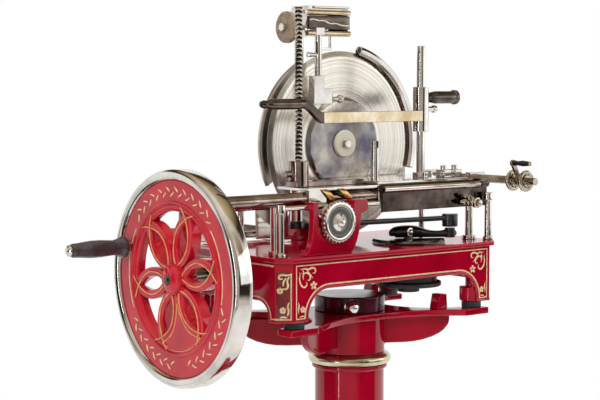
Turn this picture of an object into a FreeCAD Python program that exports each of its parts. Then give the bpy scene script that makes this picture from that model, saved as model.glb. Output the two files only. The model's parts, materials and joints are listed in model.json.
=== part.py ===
"""Hand cranked meat slicer on a pedestal, as a parametric FreeCAD document.

Frame: millimetres, +Z up, origin on the floor at the middle of the pedestal.
+X runs along the travel of the carriage, away from the flywheel, and the
blade stands in an XZ plane and faces the meat, towards -Y.
"""
import FreeCAD, Part
import math
import os
import re

import Sketcher
from FreeCAD import Placement, Rotation, Vector

SIZES = {
    # pedestal
    "stand_height": 800, "column_shift": 12, "column_radius": 65, "column_wall": 7,
    "foot_radius": 225, "foot_rim": 20, "foot_height": 150, "foot_socket": 40, "foot_wall": 12,
    "neck_height": 66, "neck_wall": 15, "bead_height": 22, "bead_swell": 13,
    "collar_height": 8, "collar_swell": 6,
    "plate_length": 480, "plate_width": 284, "plate_thickness": 12,
    "plate_waist": 75, "plate_side_bay": 105,
    "web_depth": 52, "web_thickness": 14, "web_reach": 202, "web_tip": 10,
    "turret_radius": 66, "turret_height": 30, "knob_radius": 14, "knob_neck": 9, "knob_depth": 15,
    "anchor_side": 24, "anchor_height": 28, "anchor_taper": 6, "anchor_x": 150, "anchor_y": 97,
    # base casting and its feet
    "pad_radius": 18.5, "pad_height": 13, "pad_inset_x": 45, "pad_inset_y": 26,
    "base_length": 522, "base_width": 288, "base_height": 113, "base_wall": 10,
    "corner_cut": 23, "deck_thickness": 9, "flange_lip": 6, "flange_height": 8,
    "arch_height": 56, "arch_leg": 56, "arch_radius": 48,
    "side_arch_height": 35, "side_arch_leg": 40, "side_arch_radius": 30,
    "boss_radius": 23, "boss_height": 26,
    # flywheel and its shaft
    "wheel_radius": 190, "wheel_width": 33, "wheel_gap": 97, "wheel_drop": 38, "rim_bevel": 6,
    "band_radius": 171, "band_inner": 121, "band_inset": 5, "web_back": 7,
    "hub_radius": 27, "petal_width": 56, "petal_rim": 16, "petal_count": 6, "wheel_phase": 11,
    "ridge_radius": 130, "ridge_width": 5, "ridge_height": 3, "counterweight_angle": 52,
    "shaft_radius": 15, "shaft_boss": 34, "bearing_boss": 36, "bearing_length": 78,
    "grip_offset": 147, "grip_angle": 18, "grip_length": 112, "grip_radius": 15.5,
    "grip_flare": 19, "grip_stand_off": 12, "spindle_radius": 7,
    # slider crank
    "crank_inset": 150, "crank_y": -55, "crank_radius": 80, "crank_lean": 30,
    "rod_pivot_y": -52, "crank_disc_radius": 70, "crank_disc_height": 5,
    "crank_arm_width": 26, "crank_arm_height": 12,
    "crank_shaft_radius": 14, "crank_rise": 2, "rod_length": 341, "rod_width": 13,
    "rod_height": 9, "rod_rise": 40, "eye_radius": 13, "case_radius": 62, "case_drop": 94,
    "link_gap": 2, "crank_tail": 30, "rod_drop": 12, "rod_pin_radius": 6,
    # rails and posts
    "rail_radius": 12, "rail_y": -90, "rail_rise": 96, "rail_left": 345, "rail_right": 262,
    "rail_post_x": 236, "rail_post_radius": 8,
    "rear_rail_y": 28, "rear_rail_width": 12, "rear_rail_height": 10, "rear_rail_half": 240,
    "rear_rail_rise": 70, "rear_post_x": 222,
    "corner_post_x": 250, "corner_post_inset": 21, "corner_post_radius": 7,
    "corner_post_height": 76, "post_head_radius": 9, "post_head_height": 15,
    "guide_radius": 4.5, "guide_end": 22, "guide_inset": 4, "right_post_x": 254,
    # thickness dial
    "dial_x": 137, "dial_rise": 57, "dial_radius": 34.5, "dial_width": 16, "dial_nut": 9,
    "dial_notches": 20, "notch_radius": 2.6, "dial_shaft_radius": 6, "dial_web": 5,
    "yoke_left": 50, "yoke_right": 82, "yoke_depth": 24, "yoke_back": 112, "yoke_thin": 12,
    "yoke_bore": 38, "yoke_height": 93, "yoke_arm": 24, "yoke_low": 28, "yoke_lug": 20,
    "yoke_foot": 22, "web_height": 22,
    # carriage
    "saddle_left": 176, "saddle_right": 264, "saddle_plate": 226, "saddle_front": 105,
    "saddle_rear": 34, "saddle_thickness": 5, "saddle_gap": 2, "saddle_arm_front": 105,
    "saddle_arm_rear": 20, "shoe_length": 30,
    "bearing_width": 40, "bearing_span": 30, "apron_height": 50, "apron_thickness": 5,
    "apron_roll": 7, "apron_left": 4,
    # meat table
    "table_left": 10, "table_right": 222, "table_front": 104, "table_rear": 36,
    "table_thickness": 5, "post_x": 141, "post_y": -55, "post_radius": 8, "post_height": 248,
    "rack_x": -155, "rack_radius": 6.5, "rack_height": 314, "rack_pitch": 8,
    "rack_toothed": 232, "tooth_depth": 4, "rack_base": 18, "rack_socket": 46,
    "clamp_x": 175, "clamp_y": -85, "clamp_length": 24, "clamp_height": 14,
    "pin_x": -5, "pin_y": -90, "pin_radius": 8, "pin_height": 74,
    # cross feed
    "screw_x": 242, "screw_radius": 7, "screw_drop": 3, "screw_front": 256, "screw_rear": 28,
    "nut_shift": 7, "cheek_width": 13, "nut_width": 22, "ring_radius": 20, "ring_bar": 4,
    "feed_arm": 38, "feed_lean": 28, "feed_grip_length": 34, "feed_grip_radius": 5.5,
    "lever_x": 226, "lever_drop": 38,
    # meat press
    "press_rise": 117, "press_bar_height": 20, "press_bar_thickness": 7, "press_bar_y": -72,
    "press_clamp_height": 84, "press_clamp_radius": 15, "press_clamp_lift": 12, "stud_rise": 12,
    "press_bar_start": 36, "press_swoop": 44, "press_swoop_depth": 12,
    "press_grip_length": 90, "press_grip_radius": 9.5, "press_grip_rise": 25,
    "side_grip_length": 77, "side_grip_radius": 12,
    # blade, pillar and guards
    "blade_x": 32, "blade_y": 48, "blade_rise": 184, "blade_radius": 175,
    "blade_thickness": 5, "bevel_width": 16, "dish_radius": 90, "dish_depth": 7,
    "blade_hub_radius": 26, "blade_shaft_radius": 16, "pillar_foot": 144, "pillar_top": 96,
    "pillar_inset": 52, "pillar_depth": 50, "pillar_flange": 12, "pillar_shoulder": 60,
    "post_lug": 34, "post_seat": 60, "head_radius": 48, "head_front": 70,
    "guard_radius": 181, "guard_tube": 10, "guard_wall": 2, "guard_slot": 9,
    "guard_start": -16, "guard_end": 76, "deflector_radius": 170, "deflector_y": 78,
    "deflector_thickness": 3, "deflector_bead": 3.5, "deflector_start": 118,
    "deflector_sweep": 88,
    # slice tray
    "tray_length": 240, "tray_width": 150, "tray_thickness": 3, "tray_rim": 12,
    "tray_gap": 8, "tray_bar_width": 18, "tray_bar_height": 5,
    # sharpener
    "sharp_x": -20, "sharp_rise": 229, "sharp_length": 100, "sharp_depth": 44,
    "sharp_height": 56, "sharp_post_radius": 9, "sharp_post_y": 112,
    "stone_radius": 29, "stone_width": 10, "stone_reach": 30, "stem_radius": 6.5, "stem_length": 104,
    "sharp_bracket": 52, "stem_shift": 26, "cover_thickness": 4, "cover_step": 14,
    "thin_stem_radius": 3, "thin_stem_length": 26, "stem_lever": 26,
    # fits
    "running_gap": 0.05, "air_gap": 0.4,
}

PLACES = {
    "pedestal_top": "stand_height",
    "pad_x": "base_length/2 - pad_inset_x",
    "pad_y": "base_width/2 - pad_inset_y",
    "column_top": "stand_height - plate_thickness - neck_height",
    "base_bottom": "stand_height + pad_height",
    "deck_top": "base_bottom + base_height",
    "wheel_z": "deck_top - wheel_drop",
    "wheel_x": "0 - base_length/2 - wheel_gap - wheel_width",
    "wheel_back": "wheel_x + wheel_width",
    "corner_post_y": "base_width/2 - corner_post_inset",
    "grip_y": "grip_offset * cos(grip_angle * 1 deg)",
    "grip_z": "wheel_z + grip_offset * sin(grip_angle * 1 deg)",
    "rail_z": "deck_top + rail_rise",
    "saddle_z": "rail_z + rail_radius + saddle_gap",
    "table_z": "saddle_z + saddle_thickness",
    "table_top": "table_z + air_gap + table_thickness",
    "crank_x": "base_length/2 - crank_inset",
    "crank_disc_z": "deck_top + crank_rise",
    "crank_arm_z": "crank_disc_z + crank_disc_height",
    "crank_arm_top": "crank_arm_z + crank_arm_height",
    "rod_z": "deck_top + rod_rise",
    "pin_x_at_rest": "crank_x + crank_radius * cos(crank_lean * 1 deg)",
    "pin_y_at_rest": "crank_y - crank_radius * sin(crank_lean * 1 deg)",
    "rod_joint_x": "pin_x_at_rest - sqrt(rod_length^2 - (rod_pivot_y - pin_y_at_rest)^2)",
    "rear_rail_z": "deck_top + rear_rail_rise",
    "guide_z": "deck_top + corner_post_height + post_head_height/2",
    "dial_z": "deck_top + dial_rise",
    "blade_z": "deck_top + blade_rise",
    "blade_back": "blade_y + blade_thickness",
    "pillar_front": "base_width/2 - pillar_inset",
    "press_z": "table_top + press_rise",
    "screw_z": "table_z + screw_drop",
    "sharp_z": "blade_z + sharp_rise",
    "saddle_arm_x": "0 - saddle_left",
}

AXIS_TURN = {
    "z": Rotation(),
    "x": Rotation(Vector(0, 1, 0), 90),
    "-x": Rotation(Vector(0, 1, 0), -90),
    "y": Rotation(Vector(1, 0, 0), -90),
    "-y": Rotation(Vector(1, 0, 0), 90),
}
LATHE_TURN = {
    "z": Rotation(Vector(1, 0, 0), 90),
    "-z": Rotation(Vector(1, 0, 0), -90),
    "x": Rotation(Vector(0, 0, 1), -90),
    "-x": Rotation(Vector(0, 0, 1), 90),
    "y": Rotation(),
    "-y": Rotation(Vector(0, 0, 1), 180),
}
PLANE_TURN = {
    "xy": Rotation(),
    "xz": Rotation(Vector(1, 0, 0), 90),
    "yz": Rotation(Vector(1, 1, 1), 120),
}

DOC = FreeCAD.newDocument("MeatSlicer")
SHEET = DOC.addObject("Spreadsheet::Sheet", "Sizes")
for row, (alias, value) in enumerate(SIZES.items(), 1):
    SHEET.set("A%d" % row, alias)
    SHEET.set("B%d" % row, str(value))
    SHEET.setAlias("B%d" % row, alias)
DOC.recompute()

NODES = []


def full(text):
    """Write an expression with each size and place name led back to the sheet."""
    def cell(match):
        word = match.group(0)
        if word in PLACES:
            return "(" + full(PLACES[word]) + ")"
        return "Sizes." + word if word in SIZES else word
    return re.sub(r"[a-z][a-z_0-9]*", cell, str(text))


def number(text):
    """Return the value of an expression as a plain number."""
    value = SHEET.evalExpression(full(text))
    return float(getattr(value, "Value", value))


def bind(item, **sizes):
    """Bind properties of an object to expressions."""
    for name, text in sizes.items():
        item.setExpression(name, full(text))


def place(item, at, turn=None):
    """Put an object at a point given by three expressions, turned as asked."""
    item.Placement = Placement(Vector(*[number(text) for text in at]), turn or Rotation())
    for axis, text in zip("xyz", at):
        item.setExpression("Placement.Base." + axis, full(text))
    return item


def box(name, size, at):
    """Make a block from its lowest corner."""
    item = DOC.addObject("Part::Box", name)
    bind(item, Length=size[0], Width=size[1], Height=size[2])
    return place(item, at)


def rod(name, radius, length, at, axis="z"):
    """Make a round bar that starts at a point and runs along an axis."""
    item = DOC.addObject("Part::Cylinder", name)
    bind(item, Radius=radius, Height=length)
    return place(item, at, AXIS_TURN[axis])


def cone(name, start, end, length, at, axis="z"):
    """Make a tapered round bar."""
    item = DOC.addObject("Part::Cone", name)
    bind(item, Radius1=start, Radius2=end, Height=length)
    return place(item, at, AXIS_TURN[axis])


def torus(name, radius, bar, at, axis="z"):
    """Make a round ring of round section."""
    item = DOC.addObject("Part::Torus", name)
    bind(item, Radius1=radius, Radius2=bar)
    return place(item, at, AXIS_TURN[axis])


def hexagon(name, radius, length, at, axis="z"):
    """Make a six-sided bar, for bolt heads and nuts."""
    item = DOC.addObject("Part::Prism", name)
    item.Polygon = 6
    bind(item, Circumradius=radius, Height=length)
    return place(item, at, AXIS_TURN[axis])


def outline(body, points):
    """Draw a closed outline whose corners are held by expressions."""
    plane = [item for item in body.Origin.OriginFeatures if item.Role == "XY_Plane"][0]
    sketch = body.newObject("Sketcher::SketchObject", body.Name + "Sketch")
    sketch.AttachmentSupport = (plane, [""])
    sketch.MapMode = "FlatFace"
    spots = [Vector(number(u), number(v), 0) for u, v in points]
    count = len(points)
    for i in range(count):
        sketch.addGeometry(Part.LineSegment(spots[i], spots[(i + 1) % count]))
    for i in range(count):
        sketch.addConstraint(Sketcher.Constraint("Coincident", i, 2, (i + 1) % count, 1))
    for i, pair in enumerate(points):
        for kind, text, value in zip(("DistanceX", "DistanceY"), pair, spots[i]):
            index = sketch.addConstraint(Sketcher.Constraint(kind, -1, 1, i, 1, value))
            sketch.setExpression("Constraints[%d]" % index, full(text))
    return sketch


def profile(name, points, depth, at, plane):
    """Pad an outline: xy rises along +Z, xz runs along -Y, yz runs along +X."""
    body = DOC.addObject("PartDesign::Body", name)
    pad = body.newObject("PartDesign::Pad", name + "Pad")
    pad.Profile = outline(body, points)
    bind(pad, Length=depth)
    body.Tip = pad
    return place(body, at, PLANE_TURN[plane])


def turned(name, points, at, axis="z", sweep=None):
    """Turn an outline of (radius, height) points round an axis."""
    body = DOC.addObject("PartDesign::Body", name)
    lathe = body.newObject("PartDesign::Revolution", name + "Turn")
    sketch = outline(body, points)
    lathe.Profile = sketch
    lathe.ReferenceAxis = (sketch, ["V_Axis"])
    if sweep:
        bind(lathe, Angle=sweep)
    body.Tip = lathe
    return place(body, at, LATHE_TURN[axis])


def fuse(name, *items):
    """Join solids into one."""
    item = DOC.addObject("Part::MultiFuse", name)
    item.Shapes = list(items)
    item.Refine = True
    return item


def cut(name, base, *tools):
    """Take tools away from a solid."""
    item = DOC.addObject("Part::Cut", name)
    item.Base = base
    item.Tool = tools[0] if len(tools) == 1 else fuse(name + "Tools", *tools)
    item.Refine = True
    return item


def common(name, *items):
    """Keep what solids share."""
    item = DOC.addObject("Part::MultiCommon", name)
    item.Shapes = list(items)
    return item


def group(name, items):
    """Keep identical pieces together as separate solids."""
    item = DOC.addObject("Part::Compound", name)
    item.Links = list(items)
    return item


def node(label, item):
    """Name a finished sub-part."""
    item.Label = label
    NODES.append(item)
    return item


def spin(item, centre, degrees, axis=(0, 0, 1)):
    """Turn an object about an axis through a point."""
    pivot = Vector(*[number(text) for text in centre])
    turn = Placement(Vector(), Rotation(Vector(*axis), degrees), pivot)
    item.setExpression("Placement.Base.x", None)
    item.setExpression("Placement.Base.y", None)
    item.setExpression("Placement.Base.z", None)
    item.Placement = turn.multiply(item.Placement)
    return item


# ---------------------------------------------------------------- pedestal

def make_foot():
    """Flared round foot, hollow below, with a socket for the column."""
    points = [
        ("foot_radius", 0), ("foot_radius", "foot_rim"),
        ("foot_radius - 14", "foot_rim + 9"), ("foot_radius * 0.64", "foot_rim + 34"),
        ("foot_radius * 0.45", "foot_height * 0.62"), ("column_radius + 12", "foot_height - 10"),
        ("column_radius + 9", "foot_height"), ("column_radius", "foot_height"),
        ("column_radius", "foot_height - foot_socket"),
        ("column_radius - 10", "foot_height - foot_socket"),
        ("column_radius - 10", "foot_height * 0.55"),
        ("foot_radius * 0.56", "foot_rim + 20"), ("foot_radius - 24", "foot_rim - 2"),
        ("foot_radius - foot_wall", "foot_rim - 8"), ("foot_radius - foot_wall", 0),
    ]
    return node("stand_foot", turned("StandFoot", points, ("column_shift", 0, 0)))


def make_column():
    """Round column from the foot's socket to the neck of the top plate."""
    height = "column_top - foot_height + foot_socket"
    at = ("column_shift", 0, "foot_height - foot_socket")
    tube = rod("ColumnTube", "column_radius", height, at)
    bore = rod("ColumnBore", "column_radius - column_wall", height, at)
    collar = turned("StandCollar", [
        ("column_radius - 1", "0 - collar_height"), ("column_radius + 3", "0 - collar_height"),
        ("column_radius + collar_swell", "2 - collar_height"), ("column_radius + collar_swell", 0),
        ("column_radius - 1", 0)], ("column_shift", 0, "column_top - bead_height"))
    return node("stand_column", cut("StandColumn", fuse("ColumnSolid", tube, collar), bore))


def make_column_bead():
    """Half-round bead between the column's collar and the neck."""
    bead = [
        ("column_radius", "0 - bead_height"), ("column_radius + bead_swell * 0.55", "0 - bead_height"),
        ("column_radius + bead_swell * 0.9", "0 - bead_height * 0.8"),
        ("column_radius + bead_swell", "0 - bead_height / 2"),
        ("column_radius + bead_swell * 0.9", "0 - bead_height * 0.2"),
        ("column_radius + bead_swell * 0.55", 0), ("column_radius", 0),
    ]
    node("stand_bead_ring", turned("StandBead", bead, ("column_shift", 0, "column_top")))


def rib_outline(steps=7):
    """Outline of a rib below an arm: deep at the column, rounded up to its tip."""
    points = [("column_radius * 0.8", 1), ("web_reach", 1)]
    for i in range(steps + 1):
        angle = math.pi / 2 * i / steps
        points.append(("web_reach * (0.55 + 0.45 * %.6f)" % math.cos(angle),
                       "0 - web_tip - (web_depth - web_tip) * %.6f" % math.sin(angle)))
    return points + [("column_radius * 0.8", "0 - web_depth")]


def make_plate():
    """Four-armed top plate with a neck below and a deep rib under each arm."""
    sheet = box("PlateSheet", ("plate_length", "plate_width", "plate_thickness"),
                ("0 - plate_length/2", "0 - plate_width/2", "pedestal_top - plate_thickness"))
    bays = []
    reach = "plate_length/2 - 60"
    sag = "(plate_width/2 - plate_waist)"
    wide = "(((%s)^2 + %s^2) / (2 * %s))" % (reach, sag, sag)
    low = "pedestal_top - plate_thickness - 1"
    for side in (-1, 1):
        y = "%d * (plate_waist + %s)" % (side, wide)
        bays.append(rod("FrontBay%d" % (side + 1), wide, "plate_thickness + 2", (0, y, low)))
        x = "%d * (plate_length/2 - 25)" % side
        bays.append(rod("SideBay%d" % (side + 1), "plate_side_bay", "plate_thickness + 2",
                        (x, 0, low)))
    arms = cut("PlateArms", sheet, *bays)
    neck = rod("Neck", "column_radius + 1", "neck_height + 1",
               ("column_shift", 0, "column_top"))
    slope = math.degrees(math.atan2(number("pad_y"), number("pad_x")))
    ribs = []
    for turn in (slope, 180 - slope, 180 + slope, -slope):
        rib = profile("Rib%d" % len(ribs), rib_outline(), "web_thickness",
                      (0, "web_thickness/2", "pedestal_top - plate_thickness"), "xz")
        ribs.append(spin(rib, (0, 0, 0), turn))
    solid = fuse("PlateSolid", arms, neck, *ribs)
    bore = rod("NeckBore", "column_radius - neck_wall", "neck_height",
               ("column_shift", 0, "column_top"))
    return node("stand_plate", cut("StandPlate", solid, bore))


def make_turret():
    """Drum on the plate that takes the locking screw, and two tapered lugs beside it."""
    drum = rod("Turret", "turret_radius", "turret_height", ("column_shift", 0, "pedestal_top"))
    knob_hole = rod("TurretHole", "knob_neck/2 + running_gap", "40",
                    ("column_shift - turret_radius - 1", 0, "pedestal_top + turret_height/2"), "x")
    spin(knob_hole, ("column_shift", 0, 0), 52)
    node("stand_turret", cut("StandTurret", drum, knob_hole))
    outline_points = [("0 - anchor_side/2", 0), ("anchor_side/2", 0),
                      ("anchor_side/2 - 2", "anchor_height"),
                      ("anchor_taper - anchor_side/2", "anchor_height")]
    lugs = [profile("AnchorLug%d" % i, outline_points, "anchor_side",
                    ("anchor_x", "%d*anchor_y + anchor_side/2" % side, "pedestal_top"), "xz")
            for i, side in enumerate((-1, 1))]
    node("anchor_lugs", group("AnchorLugs", lugs))


def rounded(radius, start, steps=8):
    """Corners of a ball's outline, as (radius, height) from its foot at a height."""
    spots = []
    for i in range(steps + 1):
        angle = math.radians(-62 + 152.0 * i / steps)
        spots.append(("(%s) * %.6f" % (radius, max(0, math.cos(angle))),
                      "%s + (%s) * %.6f" % (start, radius, 1 + math.sin(angle))))
    return spots


def make_lock_knob():
    """Ball-ended locking screw in the drum."""
    stem = "knob_neck/2"
    points = [(0, 0), (stem, 0), (stem, "knob_depth + air_gap"),
              ("knob_radius * 0.8", "knob_depth + air_gap"),
              ("knob_radius * 0.8", "knob_depth + 3"), (stem, "knob_depth + 3")]
    points += rounded("knob_radius", "knob_depth + 3")
    knob = turned("LockKnob", points,
                  ("column_shift - turret_radius + knob_depth", 0,
                   "pedestal_top + turret_height/2"), "-x")
    return node("lock_knob", spin(knob, ("column_shift", 0, 0), 52))


# -------------------------------------------------------------------- base

def corner_outline(grow):
    """Corners of the base's plan with its cut corners, grown by an expression."""
    x = "(base_length/2 + %s)" % grow
    y = "(base_width/2 + %s)" % grow
    cut_x = "(base_length/2 + %s - corner_cut)" % grow
    cut_y = "(base_width/2 + %s - corner_cut)" % grow
    return [
        ("0 - " + cut_x, "0 - " + y), (cut_x, "0 - " + y), (x, "0 - " + cut_y), (x, cut_y),
        (cut_x, y), ("0 - " + cut_x, y), ("0 - " + x, cut_y), ("0 - " + x, "0 - " + cut_y)]


def arch(name, half, height, radius, length, axis):
    """Tunnel through the base with rounded upper corners, along x or y."""
    low = "base_bottom - 1"
    reach = length + " + 40"
    start = "0 - %s/2 - 20" % length

    def block(part, width, tall):
        """One block of the tunnel, centred across its axis."""
        size = (width, reach, tall) if axis == "y" else (reach, width, tall)
        edge = "0 - (%s)/2" % width
        return box(name + part, size, (edge, start, low) if axis == "y" else (start, edge, low))

    rounds = []
    for side in (-1, 1):
        across = "%d*((%s) - %s)" % (side, half, radius)
        centre = (across, start) if axis == "y" else (start, across)
        rounds.append(rod("%sRound%d" % (name, side + 1), radius, reach,
                          centre + ("base_bottom + %s - %s" % (height, radius),), axis))
    body = block("Body", "2*(%s) - 2*(%s)" % (half, radius), height + " + 1")
    skirt = block("Skirt", "2*(%s)" % half, "%s - %s + 1" % (height, radius))
    return fuse(name, body, skirt, *rounds)


def make_base():
    """Cast base: deck, arched walls, cut corners, foot bosses and shaft bearings."""
    shell = profile("BaseShell", corner_outline("0"), "base_height", (0, 0, "base_bottom"), "xy")
    lip = profile("BaseLip", corner_outline("flange_lip"), "flange_height",
                  (0, 0, "deck_top - flange_height"), "xy")
    room = profile("BaseRoom", corner_outline("(0 - base_wall)"),
                   "base_height - deck_thickness + 1", (0, 0, "base_bottom - 1"), "xy")
    front = arch("FrontArch", "base_length/2 - arch_leg", "arch_height", "arch_radius",
                 "base_width", "y")
    side = arch("SideArch", "base_width/2 - side_arch_leg", "side_arch_height",
                "side_arch_radius", "base_length", "x")
    walls = cut("BaseWalls", fuse("BaseBlock", shell, lip), room, front, side)
    bosses = []
    for x in (-1, 1):
        for y in (-1, 1):
            bosses.append(rod("FootBoss%d" % len(bosses), "boss_radius", "boss_height",
                              ("%d*pad_x" % x, "%d*pad_y" % y, "base_bottom")))
            bosses.append(rod("FootStem%d" % len(bosses), "boss_radius * 0.5",
                              "base_height - deck_thickness",
                              ("%d*pad_x" % x, "%d*pad_y" % y, "base_bottom")))
    bearing = rod("ShaftBearing", "bearing_boss", "bearing_length",
                  ("0 - base_length/2", 0, "wheel_z"), "x")
    nose = rod("ShaftNose", "shaft_boss", "wheel_gap * 0.55",
               ("0 - base_length/2 - wheel_gap*0.55", 0, "wheel_z"), "x")
    crank_boss = rod("CrankBoss", "crank_shaft_radius + 14", "crank_rise - 1",
                     ("crank_x", "crank_y", "deck_top"))
    solid = fuse("BaseSolid", walls, bearing, nose, crank_boss, *bosses)
    shaft_bore = rod("ShaftBore", "shaft_radius + running_gap", "bearing_length + wheel_gap + 40",
                     ("0 - base_length/2 - wheel_gap", 0, "wheel_z"), "x")
    crank_bore = rod("CrankBore", "crank_shaft_radius + running_gap", "deck_thickness + 40",
                     ("crank_x", "crank_y", "deck_top - deck_thickness - 10"))
    return node("base_frame", cut("BaseFrame", solid, shaft_bore, crank_bore))


def make_pads():
    """Four rubber feet under the base."""
    pads = [rod("Pad%d" % i, "pad_radius", "pad_height",
                ("%d*pad_x" % x, "%d*pad_y" % y, "pedestal_top"))
            for i, (x, y) in enumerate([(-1, -1), (1, -1), (1, 1), (-1, 1)])]
    return node("rubber_feet", group("RubberFeet", pads))


def make_gear_case():
    """Closed case below the deck for the bevel gears, with its round bottom cover."""
    top = "deck_top - deck_thickness"
    drum = rod("CaseDrum", "case_radius - 8", "case_drop - deck_thickness - 20",
               ("crank_x", "crank_y", "deck_top - case_drop + 20"))
    tunnel = rod("CaseTunnel", "shaft_boss - 6", "crank_x + base_length/2 - bearing_length",
                 ("bearing_length - base_length/2", 0, "wheel_z"), "x")
    deck = box("CaseDeck", ("base_length", "base_width", "60"),
               ("0 - base_length/2", "0 - base_width/2", top))
    solid = cut("CaseSolid", fuse("CaseBody", drum, tunnel), deck)
    shaft = rod("CaseShaftRoom", "shaft_radius + 2", "crank_x + base_length/2 - bearing_length - 10",
                ("bearing_length - base_length/2 - 1", 0, "wheel_z"), "x")
    crank = rod("CaseCrankRoom", "crank_shaft_radius + 4", "50", ("crank_x", "crank_y", top + " - 50"))
    node("gear_case", cut("GearCase", solid, shaft, crank))
    cover = rod("CoverPlate", "case_radius", "8", ("crank_x", "crank_y", "deck_top - case_drop + 12"))
    hub = rod("CoverHub", "case_radius * 0.34", "13", ("crank_x", "crank_y", "deck_top - case_drop"))
    node("gear_case_cover", fuse("GearCaseCover", cover, hub))


# ---------------------------------------------------------------- flywheel

def lens(name, width, start, end, depth, angle):
    """Pointed petal between two radii of the wheel, as two crossing round bars."""
    half = "((%s) - (%s))/2" % (end, start)
    bulge = "((%s)^2 + (%s/2)^2) / (%s)" % (half, width, width)
    centre = "(%s) + %s" % (start, half)
    bars = [rod(name + side, bulge, depth[1],
                (depth[0], "%s((%s) - (%s)/2)" % (sign, bulge, width), "wheel_z + " + centre), "x")
            for side, sign in (("A", "0 + "), ("B", "0 - "))]
    leaf = common(name, *bars)
    return spin(leaf, (0, 0, "wheel_z"), angle, (1, 0, 0))


def petal_angles():
    """Directions of the petals, from the top of the wheel at rest."""
    count = int(number("petal_count"))
    return [360.0 / count * (i + 0.5) - number("wheel_phase") for i in range(count)]


def make_wheel():
    """Openwork wheel of petals round a hub, with a counterweight fan, inside a bright rim."""
    node("flywheel_rim", turned("FlywheelRim", [
        ("band_radius", "rim_bevel"), ("band_radius + rim_bevel", 0), ("wheel_radius - 2", 0),
        ("wheel_radius", 2), ("wheel_radius", "wheel_width - 2"),
        ("wheel_radius - 2", "wheel_width"), ("band_radius", "wheel_width")],
        ("wheel_x", 0, "wheel_z"), "x"))
    face = "wheel_x + band_inset"
    depth = "wheel_width - band_inset - web_back"
    band = rod("BandOuter", "band_radius", depth, (face, 0, "wheel_z"), "x")
    band_bore = rod("BandBore", "band_inner", depth, (face, 0, "wheel_z"), "x")
    ridge = rod("RidgeOuter", "ridge_radius + ridge_width", "ridge_height + 1",
                ("wheel_x + band_inset - ridge_height", 0, "wheel_z"), "x")
    ridge_bore = rod("RidgeBore", "ridge_radius", "ridge_height + 2",
                     ("wheel_x + band_inset - ridge_height - 1", 0, "wheel_z"), "x")
    hub = rod("WheelHub", "hub_radius", "wheel_width + 6", ("wheel_x - 2", 0, "wheel_z"), "x")
    petals = []
    rooms = []
    for i, angle in enumerate(petal_angles()):
        petals.append(lens("Petal%d" % i, "petal_width", "hub_radius * 0.5", "band_inner + 8",
                           (face, depth), angle))
        rooms.append(lens("PetalRoom%d" % i, "petal_width - 2*petal_rim", "hub_radius + 13",
                          "band_inner - 15", ("wheel_x - 5", "wheel_width + 10"), angle))
    fan = profile("Fan", [
        ("0 - 9", "hub_radius * 0.7"), ("9", "hub_radius * 0.7"),
        ("(band_inner + 2) * sin(counterweight_angle/2 * 1 deg)",
         "(band_inner + 2) * cos(counterweight_angle/2 * 1 deg)"),
        (0, "band_inner + 8"),
        ("0 - (band_inner + 2) * sin(counterweight_angle/2 * 1 deg)",
         "(band_inner + 2) * cos(counterweight_angle/2 * 1 deg)")],
        depth, (face, 0, "wheel_z"), "yz")
    fan = spin(fan, (0, 0, "wheel_z"), 180 - number("wheel_phase"), (1, 0, 0))
    bearer = fuse("WheelSolid", cut("Band", band, band_bore), cut("Ridge", ridge, ridge_bore),
                  hub, fan, *petals)
    bore = rod("WheelBore", "shaft_radius", "wheel_width + 20", ("wheel_x - 10", 0, "wheel_z"), "x")
    pin_hole = rod("SpindleHole", "spindle_radius", "wheel_width",
                   ("wheel_x", "grip_y", "grip_z"), "x")
    node("flywheel_disc", cut("FlywheelDisc", bearer, bore, pin_hole, *rooms))


def make_wheel_shaft():
    """Shaft from the wheel into the gear case, and the bolt on its end."""
    node("flywheel_shaft", rod("FlywheelShaft", "shaft_radius",
                               "crank_x - case_radius/2 - wheel_x",
                               ("wheel_x - 2", 0, "wheel_z"), "x"))
    washer = rod("WheelWasher", "shaft_radius + 1", "2", ("wheel_x - 4", 0, "wheel_z"), "x")
    head = hexagon("WheelNut", "shaft_radius * 0.78", "8", ("wheel_x - 12", 0, "wheel_z"), "x")
    node("flywheel_bolt", fuse("FlywheelBolt", washer, head))
    spindle = rod("Spindle", "spindle_radius",
                  "grip_length + grip_stand_off + wheel_width - band_inset - web_back",
                  ("wheel_x + band_inset - grip_length - grip_stand_off", "grip_y", "grip_z"), "x")
    foot = rod("SpindleFoot", "spindle_radius + 4", "grip_stand_off - 4",
               ("wheel_x + band_inset - grip_stand_off + 4", "grip_y", "grip_z"), "x")
    cap = turned("GripEndCap", [
        (0, "grip_length"), ("grip_radius - 5", "grip_length"),
        ("grip_radius - 5.5", "grip_length + 3"), ("grip_radius - 9", "grip_length + 6"),
        (0, "grip_length + 7")],
        ("wheel_x + band_inset - grip_stand_off", "grip_y", "grip_z"), "-x")
    node("grip_spindle", fuse("GripSpindle", spindle, foot, cap))


def make_grip():
    """Turned hand grip that spins on its spindle."""
    tip = "wheel_x + band_inset - grip_stand_off"
    points = [
        ("spindle_radius + running_gap", 0), ("grip_flare", 0), ("grip_flare + 0.5", 5),
        ("grip_flare - 3", "grip_length * 0.11"), ("grip_radius - 2", "grip_length * 0.21"),
        ("grip_radius", "grip_length * 0.45"),
        ("grip_radius", "grip_length * 0.62"), ("grip_radius - 2.5", "grip_length * 0.86"),
        ("grip_radius - 3", "grip_length - 6"), ("grip_radius - 5", "grip_length - 2"),
        ("spindle_radius + running_gap", "grip_length - 2"),
    ]
    node("crank_grip", turned("CrankGrip", points, (tip, "grip_y", "grip_z"), "-x"))


# ------------------------------------------------------------ slider crank

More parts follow.
